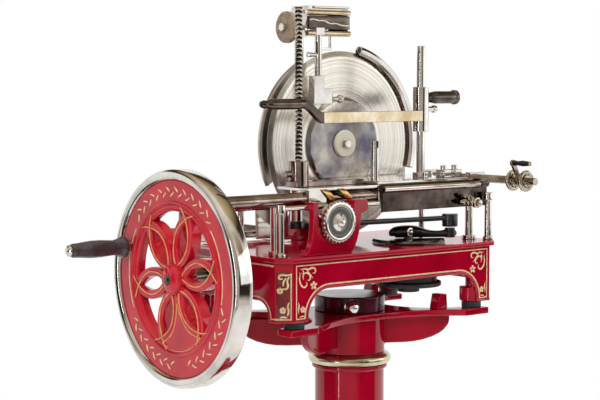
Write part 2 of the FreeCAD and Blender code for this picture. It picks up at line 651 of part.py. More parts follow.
def make_crank():
    """Upright crank shaft with its disc, arm, hub bolt and pin."""
    bottom = "deck_top - deck_thickness - 28"
    shaft = rod("CrankShaftBar", "crank_shaft_radius", "crank_disc_z - (%s)" % bottom,
                ("crank_x", "crank_y", bottom))
    journal = rod("CrankJournal", "crank_shaft_radius - 5", "crank_arm_top - crank_disc_z",
                  ("crank_x", "crank_y", "crank_disc_z"))
    top = "rod_z - rod_drop - link_gap - crank_arm_top"
    bolt = hexagon("CrankHubBolt", "11", top, ("crank_x", "crank_y", "crank_arm_top"))
    node("crank_shaft", fuse("CrankShaft", shaft, journal, bolt))
    disc = cone("CrankDiscBody", "crank_disc_radius", "crank_disc_radius - 3",
                "crank_disc_height", ("crank_x", "crank_y", "crank_disc_z"))
    bore = rod("CrankJournalBore", "crank_shaft_radius - 5", "crank_arm_top - crank_disc_z + 2",
               ("crank_x", "crank_y", "crank_disc_z - 1"))
    node("crank_disc", cut("CrankDisc", disc, bore))
    half = "crank_arm_width/2"
    ends = [rod("CrankEnd%d" % i, half, "crank_arm_height", (x, "crank_y", "crank_arm_z"))
            for i, x in enumerate(("crank_x - crank_tail", "crank_x + crank_radius"))]
    bar = box("CrankBar", ("crank_radius + crank_tail", "crank_arm_width", "crank_arm_height"),
              ("crank_x - crank_tail", "crank_y - " + half, "crank_arm_z"))
    hub = rod("CrankHub", "crank_arm_width * 0.68", "crank_arm_height",
              ("crank_x", "crank_y", "crank_arm_z"))
    pin = rod("CrankPin", "eye_radius - 3", top, ("crank_x + crank_radius", "crank_y", "crank_arm_top"))
    for piece in (bar, pin, *ends):
        spin(piece, ("crank_x", "crank_y", 0), -number("crank_lean"))
    node("crank_arm", cut("CrankArm", fuse("CrankArmSolid", bar, hub, pin, *ends), bore))


def make_connecting_rod():
    """Black rod from the crank pin to the left end of the carriage."""
    big = "(rod_joint_x + rod_length)"
    block = rod("RodBigEnd", "eye_radius + 2", "rod_height + rod_drop + 3",
                (big, "rod_pivot_y", "rod_z - rod_drop"))
    eye = rod("RodSmallEnd", "eye_radius", "rod_height + 3", ("rod_joint_x", "rod_pivot_y", "rod_z"))
    bar = box("RodBar", ("rod_length", "rod_width", "rod_height"),
              ("rod_joint_x", "rod_pivot_y - rod_width/2", "rod_z"))
    hole = rod("RodHole", "rod_pin_radius + running_gap", "rod_height + 9",
               ("rod_joint_x", "rod_pivot_y", "rod_z - 3"))
    solid = cut("ConnectingRod", fuse("RodSolid", block, eye, bar), hole)
    swing = math.degrees(math.asin(number("(rod_pivot_y - pin_y_at_rest) / rod_length")))
    node("connecting_rod", spin(solid, ("rod_joint_x", "rod_pivot_y", 0), -swing))


# ------------------------------------------------------- rails and posts

def make_rails():
    """Round front rail on two saddle posts, and the flat rear rail on its own posts."""
    node("carriage_rail", rod("CarriageRail", "rail_radius", "rail_left + rail_right",
                              ("0 - rail_left", "rail_y", "rail_z"), "x"))
    seat = rod("RailSeat", "rail_radius", "rail_left + rail_right",
               ("0 - rail_left", "rail_y", "rail_z"), "x")
    posts = []
    for i, side in enumerate((-1, 1)):
        x = "%d*rail_post_x" % side
        post = rod("RailPost%d" % i, "rail_post_radius", "rail_rise", (x, "rail_y", "deck_top"))
        foot = rod("RailPostFoot%d" % i, "rail_post_radius + 6", "8", (x, "rail_y", "deck_top"))
        posts.append(cut("RailSupport%d" % i, fuse("RailPostSolid%d" % i, post, foot), seat))
    node("rail_supports", group("RailSupports", posts))
    flat = box("RearRailBar", ("2*rear_rail_half", "rear_rail_width", "rear_rail_height"),
               ("0 - rear_rail_half", "rear_rail_y - rear_rail_width/2", "rear_rail_z"))
    rear = [rod("RearPost%d" % i, "rear_rail_width/2", "rear_rail_rise",
                ("%d*rear_post_x" % side, "rear_rail_y", "deck_top"))
            for i, side in enumerate((-1, 1))]
    node("rear_rail", fuse("RearRail", flat, *rear))


def make_corner_posts():
    """Bright posts at the front corners; the left one carries the thin guide rod."""
    posts = []
    for i, x in enumerate(("0 - corner_post_x", "right_post_x")):
        at = (x, "0 - corner_post_y")
        stem = rod("CornerPost%d" % i, "corner_post_radius", "corner_post_height", at + ("deck_top",))
        base = rod("CornerFoot%d" % i, "corner_post_radius + 3", "7", at + ("deck_top",))
        head = rod("CornerHead%d" % i, "post_head_radius", "post_head_height",
                   at + ("deck_top + corner_post_height",))
        posts.append(fuse("CornerSolid%d" % i, stem, base, head))
    hole = rod("GuideHole", "guide_radius", "corner_post_x + 40",
               ("0 - corner_post_x", "guide_inset - corner_post_y", "guide_z"), "x")
    posts[0] = cut("CornerDrilled", posts[0], hole)
    node("corner_posts", group("CornerPosts", posts))
    node("front_guide_rod", rod("FrontGuideRod", "guide_radius", "corner_post_x - guide_end",
                                ("0 - corner_post_x", "guide_inset - corner_post_y", "guide_z"),
                                "x"))


# ---------------------------------------------------------- thickness dial

def make_yoke():
    """Red yoke on the deck: two arms with lugs for the guide rod, and the dial's bearing web."""
    back = "0 - yoke_back"
    plate = profile("YokePlate", [
        ("0 - yoke_left - 16", 0), ("yoke_right - 12", 0), ("yoke_right - 6", "yoke_foot"),
        ("yoke_right + 2", "yoke_height"), ("yoke_right - yoke_arm", "yoke_height + 3"),
        ("yoke_right - yoke_arm - 4", "dial_rise"), ("5 + yoke_arm/2 - yoke_left", "dial_rise"),
        ("yoke_arm * 0.7 - yoke_left", "yoke_height"), ("0 - yoke_left", "yoke_height"),
        ("0 - yoke_left - 6", "yoke_foot")],
        "yoke_depth", ("0 - dial_x", back, "deck_top"), "xz")
    bowl = rod("YokeBowl", "yoke_bore", "yoke_depth + 2",
               ("0 - dial_x", back + " - yoke_depth - 1", "dial_z"), "y")
    relief = box("YokeRelief", ("yoke_left + yoke_right + 40", "yoke_depth - yoke_thin + 1",
                                "yoke_height - yoke_lug - yoke_low"),
                 ("0 - dial_x - yoke_left - 20", back + " - yoke_depth + yoke_thin",
                  "deck_top + yoke_low"))
    web = box("YokeWeb", ("yoke_left + yoke_right - yoke_arm", "dial_web", "web_height"),
              ("0 - dial_x - yoke_left + yoke_arm/2 - 4",
               back + " - yoke_depth + yoke_thin - dial_web",
                "dial_z - web_height/2"))
    guide = rod("YokeGuideHole", "guide_radius", "yoke_left + yoke_right + 40",
                ("0 - dial_x - yoke_left - 20", "guide_inset - corner_post_y", "guide_z"), "x")
    shaft_hole = rod("YokeShaftHole", "dial_shaft_radius + running_gap", "yoke_depth",
                     ("0 - dial_x", back + " - yoke_depth", "dial_z"), "y")
    frame = fuse("YokeSolid", cut("YokeOpen", plate, bowl, relief), web)
    node("dial_yoke", cut("DialYoke", frame, guide, shaft_hole))


def make_dial():
    """Thickness dial with its scalloped rim, and the dome nut on its shaft."""
    front = "(0 - yoke_back - yoke_depth + yoke_thin - dial_web - 1 - dial_width)"
    disc = rod("DialDisc", "dial_radius", "dial_width", ("0 - dial_x", front, "dial_z"), "y")
    notches = []
    for i in range(int(number("dial_notches"))):
        angle = 2 * math.pi * i / number("dial_notches")
        notches.append(rod("DialNotch%d" % i, "notch_radius", "dial_width * 0.7 + 1", (
            "0 - dial_x + (dial_radius + 0.8) * %.6f" % math.cos(angle), front + " - 1",
            "dial_z + (dial_radius + 0.8) * %.6f" % math.sin(angle)), "y"))
    shaft = rod("DialShaft", "dial_shaft_radius", "dial_width + 1 + dial_web",
                ("0 - dial_x", front, "dial_z"), "y")
    node("thickness_dial", cut("ThicknessDial", fuse("DialSolid", disc, shaft), *notches))
    node("dial_dome_nut", turned("DialDomeNut", [
        (0, 0), ("dial_nut + 3", 0), ("dial_nut + 3", 4), ("dial_nut", 4),
        ("dial_nut * 0.92", "dial_nut * 0.4 + 4"), ("dial_nut * 0.7", "dial_nut * 0.72 + 4"),
        ("dial_nut * 0.38", "dial_nut * 0.92 + 4"), (0, "dial_nut + 4")],
        ("0 - dial_x", front, "dial_z"), "-y"))


# ---------------------------------------------------------------- carriage

def make_carriage():
    """Carriage plate with rail bearings, rear shoes and rod lug, and its bright apron."""
    main = box("SaddleMain", ("saddle_plate + table_left", "saddle_front + saddle_rear",
                              "saddle_thickness"),
               ("0 - table_left", "0 - saddle_front", "saddle_z"))
    arm = box("SaddleArm", ("saddle_left", "saddle_arm_front - saddle_arm_rear", "saddle_thickness"),
              ("saddle_arm_x", "0 - saddle_arm_front", "saddle_z"))
    bearings = []
    slots = []
    for i, start in enumerate(("4 - saddle_left", "saddle_right - bearing_width - 70")):
        bearings.append(box("Bearing%d" % i, ("bearing_width", "bearing_span",
                                              "saddle_z - rail_z + rail_radius + 4"),
                            (start, "rail_y - bearing_span/2", "rail_z - rail_radius - 4")))
        slots.append(box("BearingSlot%d" % i, ("bearing_width + 2", "2*(rail_radius + running_gap)",
                                               "rail_radius + 6"),
                         (start + " - 1", "rail_y - rail_radius - running_gap",
                          "rail_z - rail_radius - 6")))
    rail_room = rod("BearingBore", "rail_radius + running_gap", "saddle_left + saddle_right",
                    ("0 - saddle_left", "rail_y", "rail_z"), "x")
    shoe_low = "rear_rail_z + rear_rail_height + air_gap"
    shoes = [box("Shoe%d" % i, ("shoe_length", "rear_rail_width + 6", "saddle_z - (%s)" % shoe_low),
                 (x, "rear_rail_y - rear_rail_width/2 - 3", shoe_low))
             for i, x in enumerate(("shoe_length - table_left", "saddle_right - 70"))]
    lug = rod("RodLug", "eye_radius - 2", "saddle_z - rod_z - rod_height - 3 - 1",
              ("rod_joint_x", "rod_pivot_y", "rod_z + rod_height + 3 + 1"))
    pin = rod("RodPin", "rod_pin_radius", "saddle_z - rod_z", ("rod_joint_x", "rod_pivot_y", "rod_z"))
    end = box("SaddleEnd", ("5", "bearing_span - 4", "2*rail_radius + saddle_gap + 6"),
              ("0 - apron_left - 5", "0 - saddle_front", "rail_z - rail_radius - 6"))
    slots.append(box("EndSlot", ("7", "2*(rail_radius + running_gap)", "rail_radius + 8"),
                     ("0 - apron_left - 6", "rail_y - rail_radius - running_gap",
                      "rail_z - rail_radius - 8")))
    cheeks = [box("Cheek%d" % i, ("saddle_right - saddle_plate + 3", "cheek_width",
                                  "saddle_thickness + 2*screw_radius"),
                  ("saddle_plate - 3", y, "saddle_z"))
              for i, y in enumerate(("0 - saddle_front", "saddle_rear - cheek_width"))]
    screw_room = rod("CheekBore", "screw_radius + running_gap", "screw_front + screw_rear + 20",
                     ("screw_x", "0 - screw_front", "screw_z"), "y")
    solid = fuse("SaddleSolid", main, arm, lug, pin, end, *(bearings + shoes + cheeks))
    node("carriage_saddle", cut("CarriageSaddle", solid, rail_room, screw_room, *slots))
    sheet = box("ApronSheet", ("saddle_right + apron_left", "apron_thickness", "apron_height"),
                ("0 - apron_left", "0 - saddle_front - apron_thickness",
                 "saddle_z + saddle_thickness - apron_height"))
    roll = rod("ApronRoll", "apron_roll", "saddle_right + apron_left",
               ("0 - apron_left", "0 - saddle_front - apron_thickness",
                "saddle_z + saddle_thickness - apron_roll - 1"), "x")
    room = box("ApronRollRoom", ("saddle_right + apron_left", "apron_roll + 2", "3*apron_roll"),
               ("0 - apron_left", "0 - saddle_front - apron_thickness",
                "saddle_z + saddle_thickness - 2.5*apron_roll"))
    notch = rod("ApronScrewRoom", "screw_radius + 1", "apron_thickness + apron_roll + 4",
                ("screw_x", "0 - saddle_front - apron_thickness - apron_roll - 2", "screw_z"), "y")
    solid = fuse("ApronSolid", sheet, cut("ApronMoulding", roll, room))
    node("carriage_apron", cut("CarriageApron", solid, notch))


def make_table():
    """Meat table with its feed nut and the extension that carries the toothed rack."""
    sheet = box("TableSheet", ("table_left + table_right", "table_front + table_rear",
                               "table_thickness"),
                ("0 - table_left", "0 - table_front", "table_z + air_gap"))
    block = box("NutBlock", ("screw_x - table_right + 16", "nut_width", "screw_radius * 2 + 5"),
                ("table_right - 4", "nut_shift - nut_width/2", "screw_z - screw_radius - 2.5"))
    ledge = box("NutRoom", ("saddle_plate - table_right + 6", "nut_width", "saddle_thickness + 10"),
                ("table_right - 5", "nut_shift - nut_width/2",
                 "table_z + air_gap - saddle_thickness - 10"))
    block = cut("NutLedge", block, ledge)
    hole = rod("NutHole", "screw_radius + running_gap", "nut_width + 4",
               ("screw_x", "nut_shift - nut_width/2 - 2", "screw_z"), "y")
    node("meat_table", cut("MeatTable", fuse("TableSolid", sheet, block), hole))
    arm = box("RackArm", ("0 - rack_x + rack_base - table_left", "26", "table_thickness + 4"),
              ("rack_x - rack_base", "post_y - 13", "table_z + air_gap"))
    base = rod("RackSocket", "rack_base", "rack_socket", ("rack_x", "post_y", "table_z + air_gap"))
    ear = rod("RackEar", "6", "30",
              ("rack_x - rack_base - 12", "post_y", "table_z + rack_socket/2"), "x")
    hole = rod("RackHole", "rack_radius", "60", ("rack_x", "post_y", "table_z + 4"))
    node("rack_bracket", cut("RackBracket", fuse("RackBracketSolid", arm, base, ear), hole))
    bar = rod("RackBar", "rack_radius", "rack_height", ("rack_x", "post_y", "table_z + 4"))
    teeth = []
    count = int(number("rack_toothed") / number("rack_pitch"))
    for i in range(count):
        teeth.append(box("RackNotch%d" % i,
                         ("tooth_depth + 1", "2*rack_radius + 2", "rack_pitch * 0.5"),
                         ("rack_x - rack_radius - 1", "post_y - rack_radius - 1",
                          "table_z + rack_socket + rack_pitch * %d" % (i + 2))))
    node("toothed_rack", cut("ToothedRack", bar, *teeth))
    post = rod("TallPostBar", "post_radius", "post_height", ("post_x", "post_y", "table_top"))
    collar = rod("TallPostFoot", "post_radius + 7", "10", ("post_x", "post_y", "table_top"))
    node("tall_post", fuse("TallPost", post, collar))
    pin = rod("PinBar", "pin_radius", "pin_height", ("pin_x", "pin_y", "table_top"))
    slot = box("PinSlot", ("2.5", "3*pin_radius", "14"),
               ("pin_x - 1.25", "pin_y - 1.5*pin_radius", "table_top + pin_height - 13"))
    node("meat_pin", cut("MeatPin", pin, slot))
    clamps = []
    for i, x in enumerate(("clamp_x", "clamp_x + clamp_length * 1.2")):
        body = box("Clamp%d" % i, ("clamp_length * 0.75", "clamp_length", "clamp_height"),
                   (x, "clamp_y", "table_top"))
        knob = rod("ClampKnob%d" % i, "clamp_length / 4", "clamp_height * 0.6",
                   (x + " + clamp_length * 0.375", "clamp_y + clamp_length/2",
                    "table_top + clamp_height"))
        clamps.append(fuse("ClampSolid%d" % i, body, knob))
    node("table_clamps", group("TableClamps", clamps))


# -------------------------------------------------------------- cross feed

def make_feed():
    """Cross-feed screw in front of the table's right end, with its rings and crank."""
    length = "screw_front + screw_rear"
    at = ("screw_x", "0 - screw_front", "screw_z")
    node("feed_screw", rod("FeedScrew", "screw_radius", length, at, "y"))
    rings = []
    for i, back in enumerate((24, 56)):
        y = "0 - screw_front + %d" % back
        ring = torus("FeedRing%d" % i, "ring_radius - ring_bar", "ring_bar",
                     ("screw_x", y, "screw_z"), "y")
        hub = rod("FeedHub%d" % i, "screw_radius + 4", "8", ("screw_x", y + " - 4", "screw_z"), "y")
        arms = [box("FeedSpoke%d%d" % (i, k), size, at_spoke) for k, (size, at_spoke) in enumerate((
            (("2*ring_radius - 2*ring_bar", "4", "5"),
             ("screw_x - ring_radius + ring_bar", y + " - 2", "screw_z - 2.5")),
            (("5", "4", "2*ring_radius - 2*ring_bar"),
             ("screw_x - 2.5", y + " - 2", "screw_z - ring_radius + ring_bar"))))]
        bore = rod("FeedBore%d" % i, "screw_radius", "20", ("screw_x", y + " - 10", "screw_z"), "y")
        rings.append(cut("FeedRingSolid%d" % i, fuse("FeedRingBody%d" % i, ring, hub, *arms), bore))
    node("feed_hand_rings", group("FeedHandRings", rings))
    y = "0 - screw_front + 38"
    centre = ("screw_x", 0, "screw_z")
    lever = box("FeedLever", ("9", "5", "feed_arm"), ("screw_x - 4.5", y, "screw_z"))
    boss = rod("FeedBoss", "screw_radius + 3", "7", ("screw_x", y + " - 1", "screw_z"), "y")
    top = rod("FeedTop", "6", "5", ("screw_x", y, "screw_z + feed_arm"), "y")
    spindle = rod("FeedSpindle", "2.5", "feed_grip_length + 6",
                  ("screw_x", y + " - feed_grip_length - 6", "screw_z + feed_arm"), "y")
    cap = rod("FeedCap", "4", "3",
              ("screw_x", y + " - feed_grip_length - 7", "screw_z + feed_arm"), "y")
    crank = fuse("FeedArmSolid", lever, boss, top, spindle, cap)
    for piece in (lever, top, spindle, cap):
        spin(piece, centre, -number("feed_lean"), (0, 1, 0))
    bore = rod("FeedLeverBore", "screw_radius", "20", ("screw_x", y + " - 10", "screw_z"), "y")
    node("feed_crank_arm", cut("FeedCrankArm", crank, bore))
    grip = turned("FeedGrip", [
        ("2.5 + running_gap", 0), ("feed_grip_radius", 0),
        ("feed_grip_radius - 1.5", "feed_grip_length * 0.25"),
        ("feed_grip_radius", "feed_grip_length * 0.6"), ("feed_grip_radius - 1", "feed_grip_length"),
        ("2.5 + running_gap", "feed_grip_length")],
        ("screw_x", y + " - 1.5", "screw_z + feed_arm"), "-y")
    node("feed_grip", spin(grip, centre, -number("feed_lean"), (0, 1, 0)))


def make_clamp_lever():
    """Bright twisted levers of the table clamp under the right front corner."""
    z = "saddle_z - lever_drop"
    y = "0 - saddle_front - apron_thickness"
    pivot = rod("LeverPivot", "5", "21 - running_gap", ("lever_x", y + " - 21", z), "y")
    boss = rod("LeverBoss", "10", "8", ("lever_x", y + " - 16", z), "y")
    arm_a = spin(box("LeverA", ("52", "5", "8"), ("lever_x - 52", y + " - 15", z + " - 4")),
                 ("lever_x", 0, z), 28, (0, 1, 0))
    arm_b = spin(box("LeverB", ("44", "5", "8"), ("lever_x - 44", y + " - 15", z + " - 4")),
                 ("lever_x", 0, z), 4, (0, 1, 0))
    node("clamp_lever", fuse("ClampLever", pivot, boss, arm_a, arm_b))


# -------------------------------------------------------------- meat press

def swoop_outline(steps=8):
    """Outline of the bend that leads the press bar up to its grip, to the left of the bar."""
    upper = []
    lower = []
    for i in range(steps + 1):
        share = i / steps
        rise = "press_grip_rise * %.6f" % ((1 - math.cos(math.pi * share)) / 2)
        half = "(press_bar_height/2 * %.6f + (press_grip_radius - 2) * %.6f)" % (1 - share, share)
        x = "0 - press_swoop * %.6f" % share
        upper.append((x, "%s + %s" % (rise, half)))
        lower.append((x, "%s - %s" % (rise, half)))
    return upper + lower[::-1]


def make_press():
    """Meat press: clamp on the tall post, flat bar past the rack, grip and side handle."""
    low = "press_z - press_clamp_height/2 + press_clamp_lift"
    sleeve = rod("PressSleeve", "press_clamp_radius", "press_clamp_height", ("post_x", "post_y", low))
    side = rod("PressArmRoot", "8", "0 - press_bar_y - press_bar_thickness/2 + post_y + 6",
               ("post_x - 20", "press_bar_y + press_bar_thickness/2", "press_z"), "y")
    arm = box("PressArm", ("26", "12", "18"), ("post_x - 30", "post_y - 6", "press_z - 9"))
    stud = rod("PressStud", "5", "26", ("post_x + 8", "post_y", "press_z + stud_rise"), "x")
    nut = rod("PressStudNut", "7", "8", ("post_x + 30", "post_y", "press_z + stud_rise"), "x")
    hole = rod("PressHole", "post_radius + running_gap", "press_clamp_height + 2",
               ("post_x", "post_y", low + " - 1"))
    solid = fuse("PressClampSolid", sleeve, side, arm, stud, nut)
    node("press_clamp", cut("PressClamp", solid, hole))
    z = "press_z + press_clamp_height/2 + press_clamp_lift - 20"
    grip = turned("PressSideGripBar", [
        (0, 0), ("side_grip_radius - 5", 0), ("side_grip_radius - 5", 9),
        ("side_grip_radius - 2", 10), ("side_grip_radius", 22),
        ("side_grip_radius", "side_grip_length - 10"), ("side_grip_radius + 2", "side_grip_length - 8"),
        ("side_grip_radius + 2", "side_grip_length - 2"), ("side_grip_radius - 2", "side_grip_length"),
        (0, "side_grip_length")], ("post_x + press_clamp_radius", "post_y", z), "x")
    node("press_side_grip", grip)
    end = "rack_x + press_bar_start"
    bar = box("PressFlat", ("post_x - 14 - (%s)" % end, "press_bar_thickness", "press_bar_height"),
              (end, "press_bar_y - press_bar_thickness/2", "press_z - press_bar_height/2"))
    node("press_bar", bar)
    swoop = profile("GripSwoop", swoop_outline(), "press_swoop_depth",
                    (end, "press_bar_y", "press_z"), "xz")
    grip = turned("GripBar", [
        (0, 0), ("press_grip_radius - 2", 0), ("press_grip_radius", 14),
        ("press_grip_radius", "press_grip_length - 14"),
        ("press_grip_radius - 3", "press_grip_length - 5"),
        ("press_grip_radius - 2", "press_grip_length"),
        ("press_grip_radius - 4", "press_grip_length + 7"), (0, "press_grip_length + 8")],
        (end + " - press_swoop + 3", "press_bar_y - press_swoop_depth/2",
         "press_z + press_grip_rise"), "-x")
    node("press_grip", fuse("PressGrip", grip, swoop))


# -------------------------------------------------------- blade and guards

def make_blade():
    """Dished round blade with a ground bevel, its hub disc, bolt and shaft."""
    points = [
        (0, "0 - dish_depth"), ("dish_radius - 8", "0 - dish_depth"), ("dish_radius", 0),
        ("blade_radius - bevel_width", 0), ("blade_radius", "blade_thickness - 0.8"),
        ("blade_radius", "blade_thickness"), ("dish_radius + 4", "blade_thickness"),
        ("dish_radius - 4", "blade_thickness - dish_depth"), (0, "blade_thickness - dish_depth")]
    at = ("blade_x", "blade_y", "blade_z")
    node("blade", turned("Blade", points, at, "y"))
    node("blade_hub_disc", turned("BladeHubDisc", [
        (0, "0 - dish_depth - 6"), ("blade_hub_radius - 2", "0 - dish_depth - 6"),
        ("blade_hub_radius", "0 - dish_depth - 4"), ("blade_hub_radius", "0 - dish_depth"),
        (0, "0 - dish_depth")], at, "y"))
    washer = rod("BladeWasher", "10", "2", ("blade_x", "blade_y - dish_depth - 8", "blade_z"), "y")
    head = hexagon("BladeNut", "8", "6", ("blade_x", "blade_y - dish_depth - 14", "blade_z"), "y")
    node("blade_bolt", fuse("BladeBolt", washer, head))
    flange = rod("ShaftFlange", "blade_shaft_radius + 20", "8",
                 ("blade_x", "blade_back - dish_depth", "blade_z"), "y")
    shaft = rod("ShaftBar", "blade_shaft_radius",
                "pillar_front + pillar_depth - blade_back + dish_depth - 6",
                ("blade_x", "blade_back - dish_depth", "blade_z"), "y")
    node("blade_shaft", fuse("BladeShaft", flange, shaft))


def make_pillar():
    """Blade pillar behind the blade with its bearing head and rear cap."""
    rear = "pillar_front + pillar_depth"
    body = profile("PillarBody", [
        ("0 - pillar_foot/2", 0), ("pillar_foot/2", 0), ("pillar_foot/2", "pillar_flange"),
        ("pillar_top/2", "pillar_shoulder"), ("pillar_top/2", "blade_rise"),
        ("0 - pillar_top/2", "blade_rise"), ("0 - pillar_top/2", "pillar_shoulder"),
        ("0 - pillar_foot/2", "pillar_flange")],
        "pillar_depth", ("blade_x", rear, "deck_top"), "xz")
    head = rod("PillarHead", "head_radius", rear + " - head_front",
               ("blade_x", "head_front", "blade_z"), "y")
    bore = rod("PillarBore", "blade_shaft_radius + running_gap", rear + " - head_front",
               ("blade_x", "head_front - 1", "blade_z"), "y")
    cap = turned("PillarCap", [
        (0, 0), ("head_radius - 2", 0), ("head_radius - 4", 6), ("head_radius * 0.5", 12), (0, 13)],
        ("blade_x", rear, "blade_z"), "y")
    lug = box("PostLug", ("post_lug", "post_lug", "post_seat"),
              ("sharp_x - post_lug/2", "sharp_post_y - post_lug/2", "blade_z - 20"))
    socket = rod("PostSocket", "sharp_post_radius", "post_seat",
                 ("sharp_x", "sharp_post_y", "blade_z - 20"))
    solid = cut("PillarDrilled", fuse("PillarSolid", body, head, lug), bore, socket)
    node("blade_pillar", fuse("BladePillar", solid, cap))


def make_guards():
    """Slotted tube guard round the blade's right edge, deflector plate and its bead."""
    ring = "guard_radius"
    tube = []
    for i in range(9):
        angle = math.radians(30 + 300 / 8 * i)
        tube.append(("%s - guard_tube * %.6f" % (ring, math.cos(angle)),
                     "guard_tube * %.6f" % math.sin(angle)))
    for i in range(8, -1, -1):
        angle = math.radians(34 + 292 / 8 * i)
        tube.append(("%s - (guard_tube - guard_wall) * %.6f" % (ring, math.cos(angle)),
                     "(guard_tube - guard_wall) * %.6f" % math.sin(angle)))
    centre = ("blade_x", "blade_y + blade_thickness/2", "blade_z")
    guard = turned("BladeGuard", tube, centre, "y", "guard_end - guard_start")
    spin(guard, ("blade_x", 0, "blade_z"), -number("guard_end"), (0, 1, 0))
    rear = "blade_y + blade_thickness/2 + guard_tube - guard_wall"
    low = "blade_z + guard_radius * sin(guard_start * 1 deg) - guard_tube - 6"
    arm = box("GuardArm", ("guard_radius * cos(guard_start * 1 deg) - pillar_top/2 + 20", "9", "18"),
              ("blade_x + pillar_top/2 - 20", rear, low))
    block = box("GuardArmFoot", ("20", "pillar_front - (%s)" % rear, "18"),
                ("blade_x + pillar_top/2 - 20", rear, low))
    node("blade_guard", fuse("GuardSolid", guard, arm, block))
    sector = turned("DeflectorSheet", [
        ("head_radius", 0), ("deflector_radius", 0), ("deflector_radius", "deflector_thickness"),
        ("head_radius", "deflector_thickness")],
        ("blade_x", "deflector_y", "blade_z"), "y", "deflector_sweep")
    bead = turned("DeflectorRing", [
        ("deflector_radius - 1", "0 - deflector_bead"),
        ("deflector_radius + deflector_bead*1.2", "0 - deflector_bead*0.4"),
        ("deflector_radius + deflector_bead*1.2", "deflector_bead*1.2"),
        ("deflector_radius - 1", "deflector_bead*1.8")],
        ("blade_x", "deflector_y", "blade_z"), "y", "deflector_sweep")
    plate = fuse("DeflectorPlate", sector, bead)
    node("deflector_plate", spin(plate, ("blade_x", 0, "blade_z"),
                                 -number("deflector_start + deflector_sweep"), (0, 1, 0)))


def make_tray():
    """Slice tray behind the base on two flat bars, with its upright end rod."""
    y = "base_width/2 + tray_gap"
    z = "deck_top + tray_bar_height"
    outer = box("TrayOuter", ("tray_length", "tray_width", "tray_rim"),
                ("0 - base_length/2", y, z))
    inner = box("TrayInner", ("tray_length - 2*tray_thickness", "tray_width - 2*tray_thickness",
                              "tray_rim"),
                ("tray_thickness - base_length/2", y + " + tray_thickness", z + " + tray_thickness"))
    rod_up = rod("TrayEndRod", "corner_post_radius", "66",
                 ("tray_thickness + corner_post_radius + 1 - base_length/2",
                  y + " + 20", z + " + tray_thickness - 1"))
    node("slice_tray", fuse("SliceTray", cut("TrayPan", outer, inner), rod_up))
    bars = [box("TrayBar%d" % i, ("tray_bar_width", "tray_width + 70", "tray_bar_height"),
                ("%s - base_length/2" % x, y + " - 70", "deck_top"))
            for i, x in enumerate(("40", "tray_length - 60"))]
    node("tray_bars", group("TrayBars", bars))


# --------------------------------------------------------------- sharpener

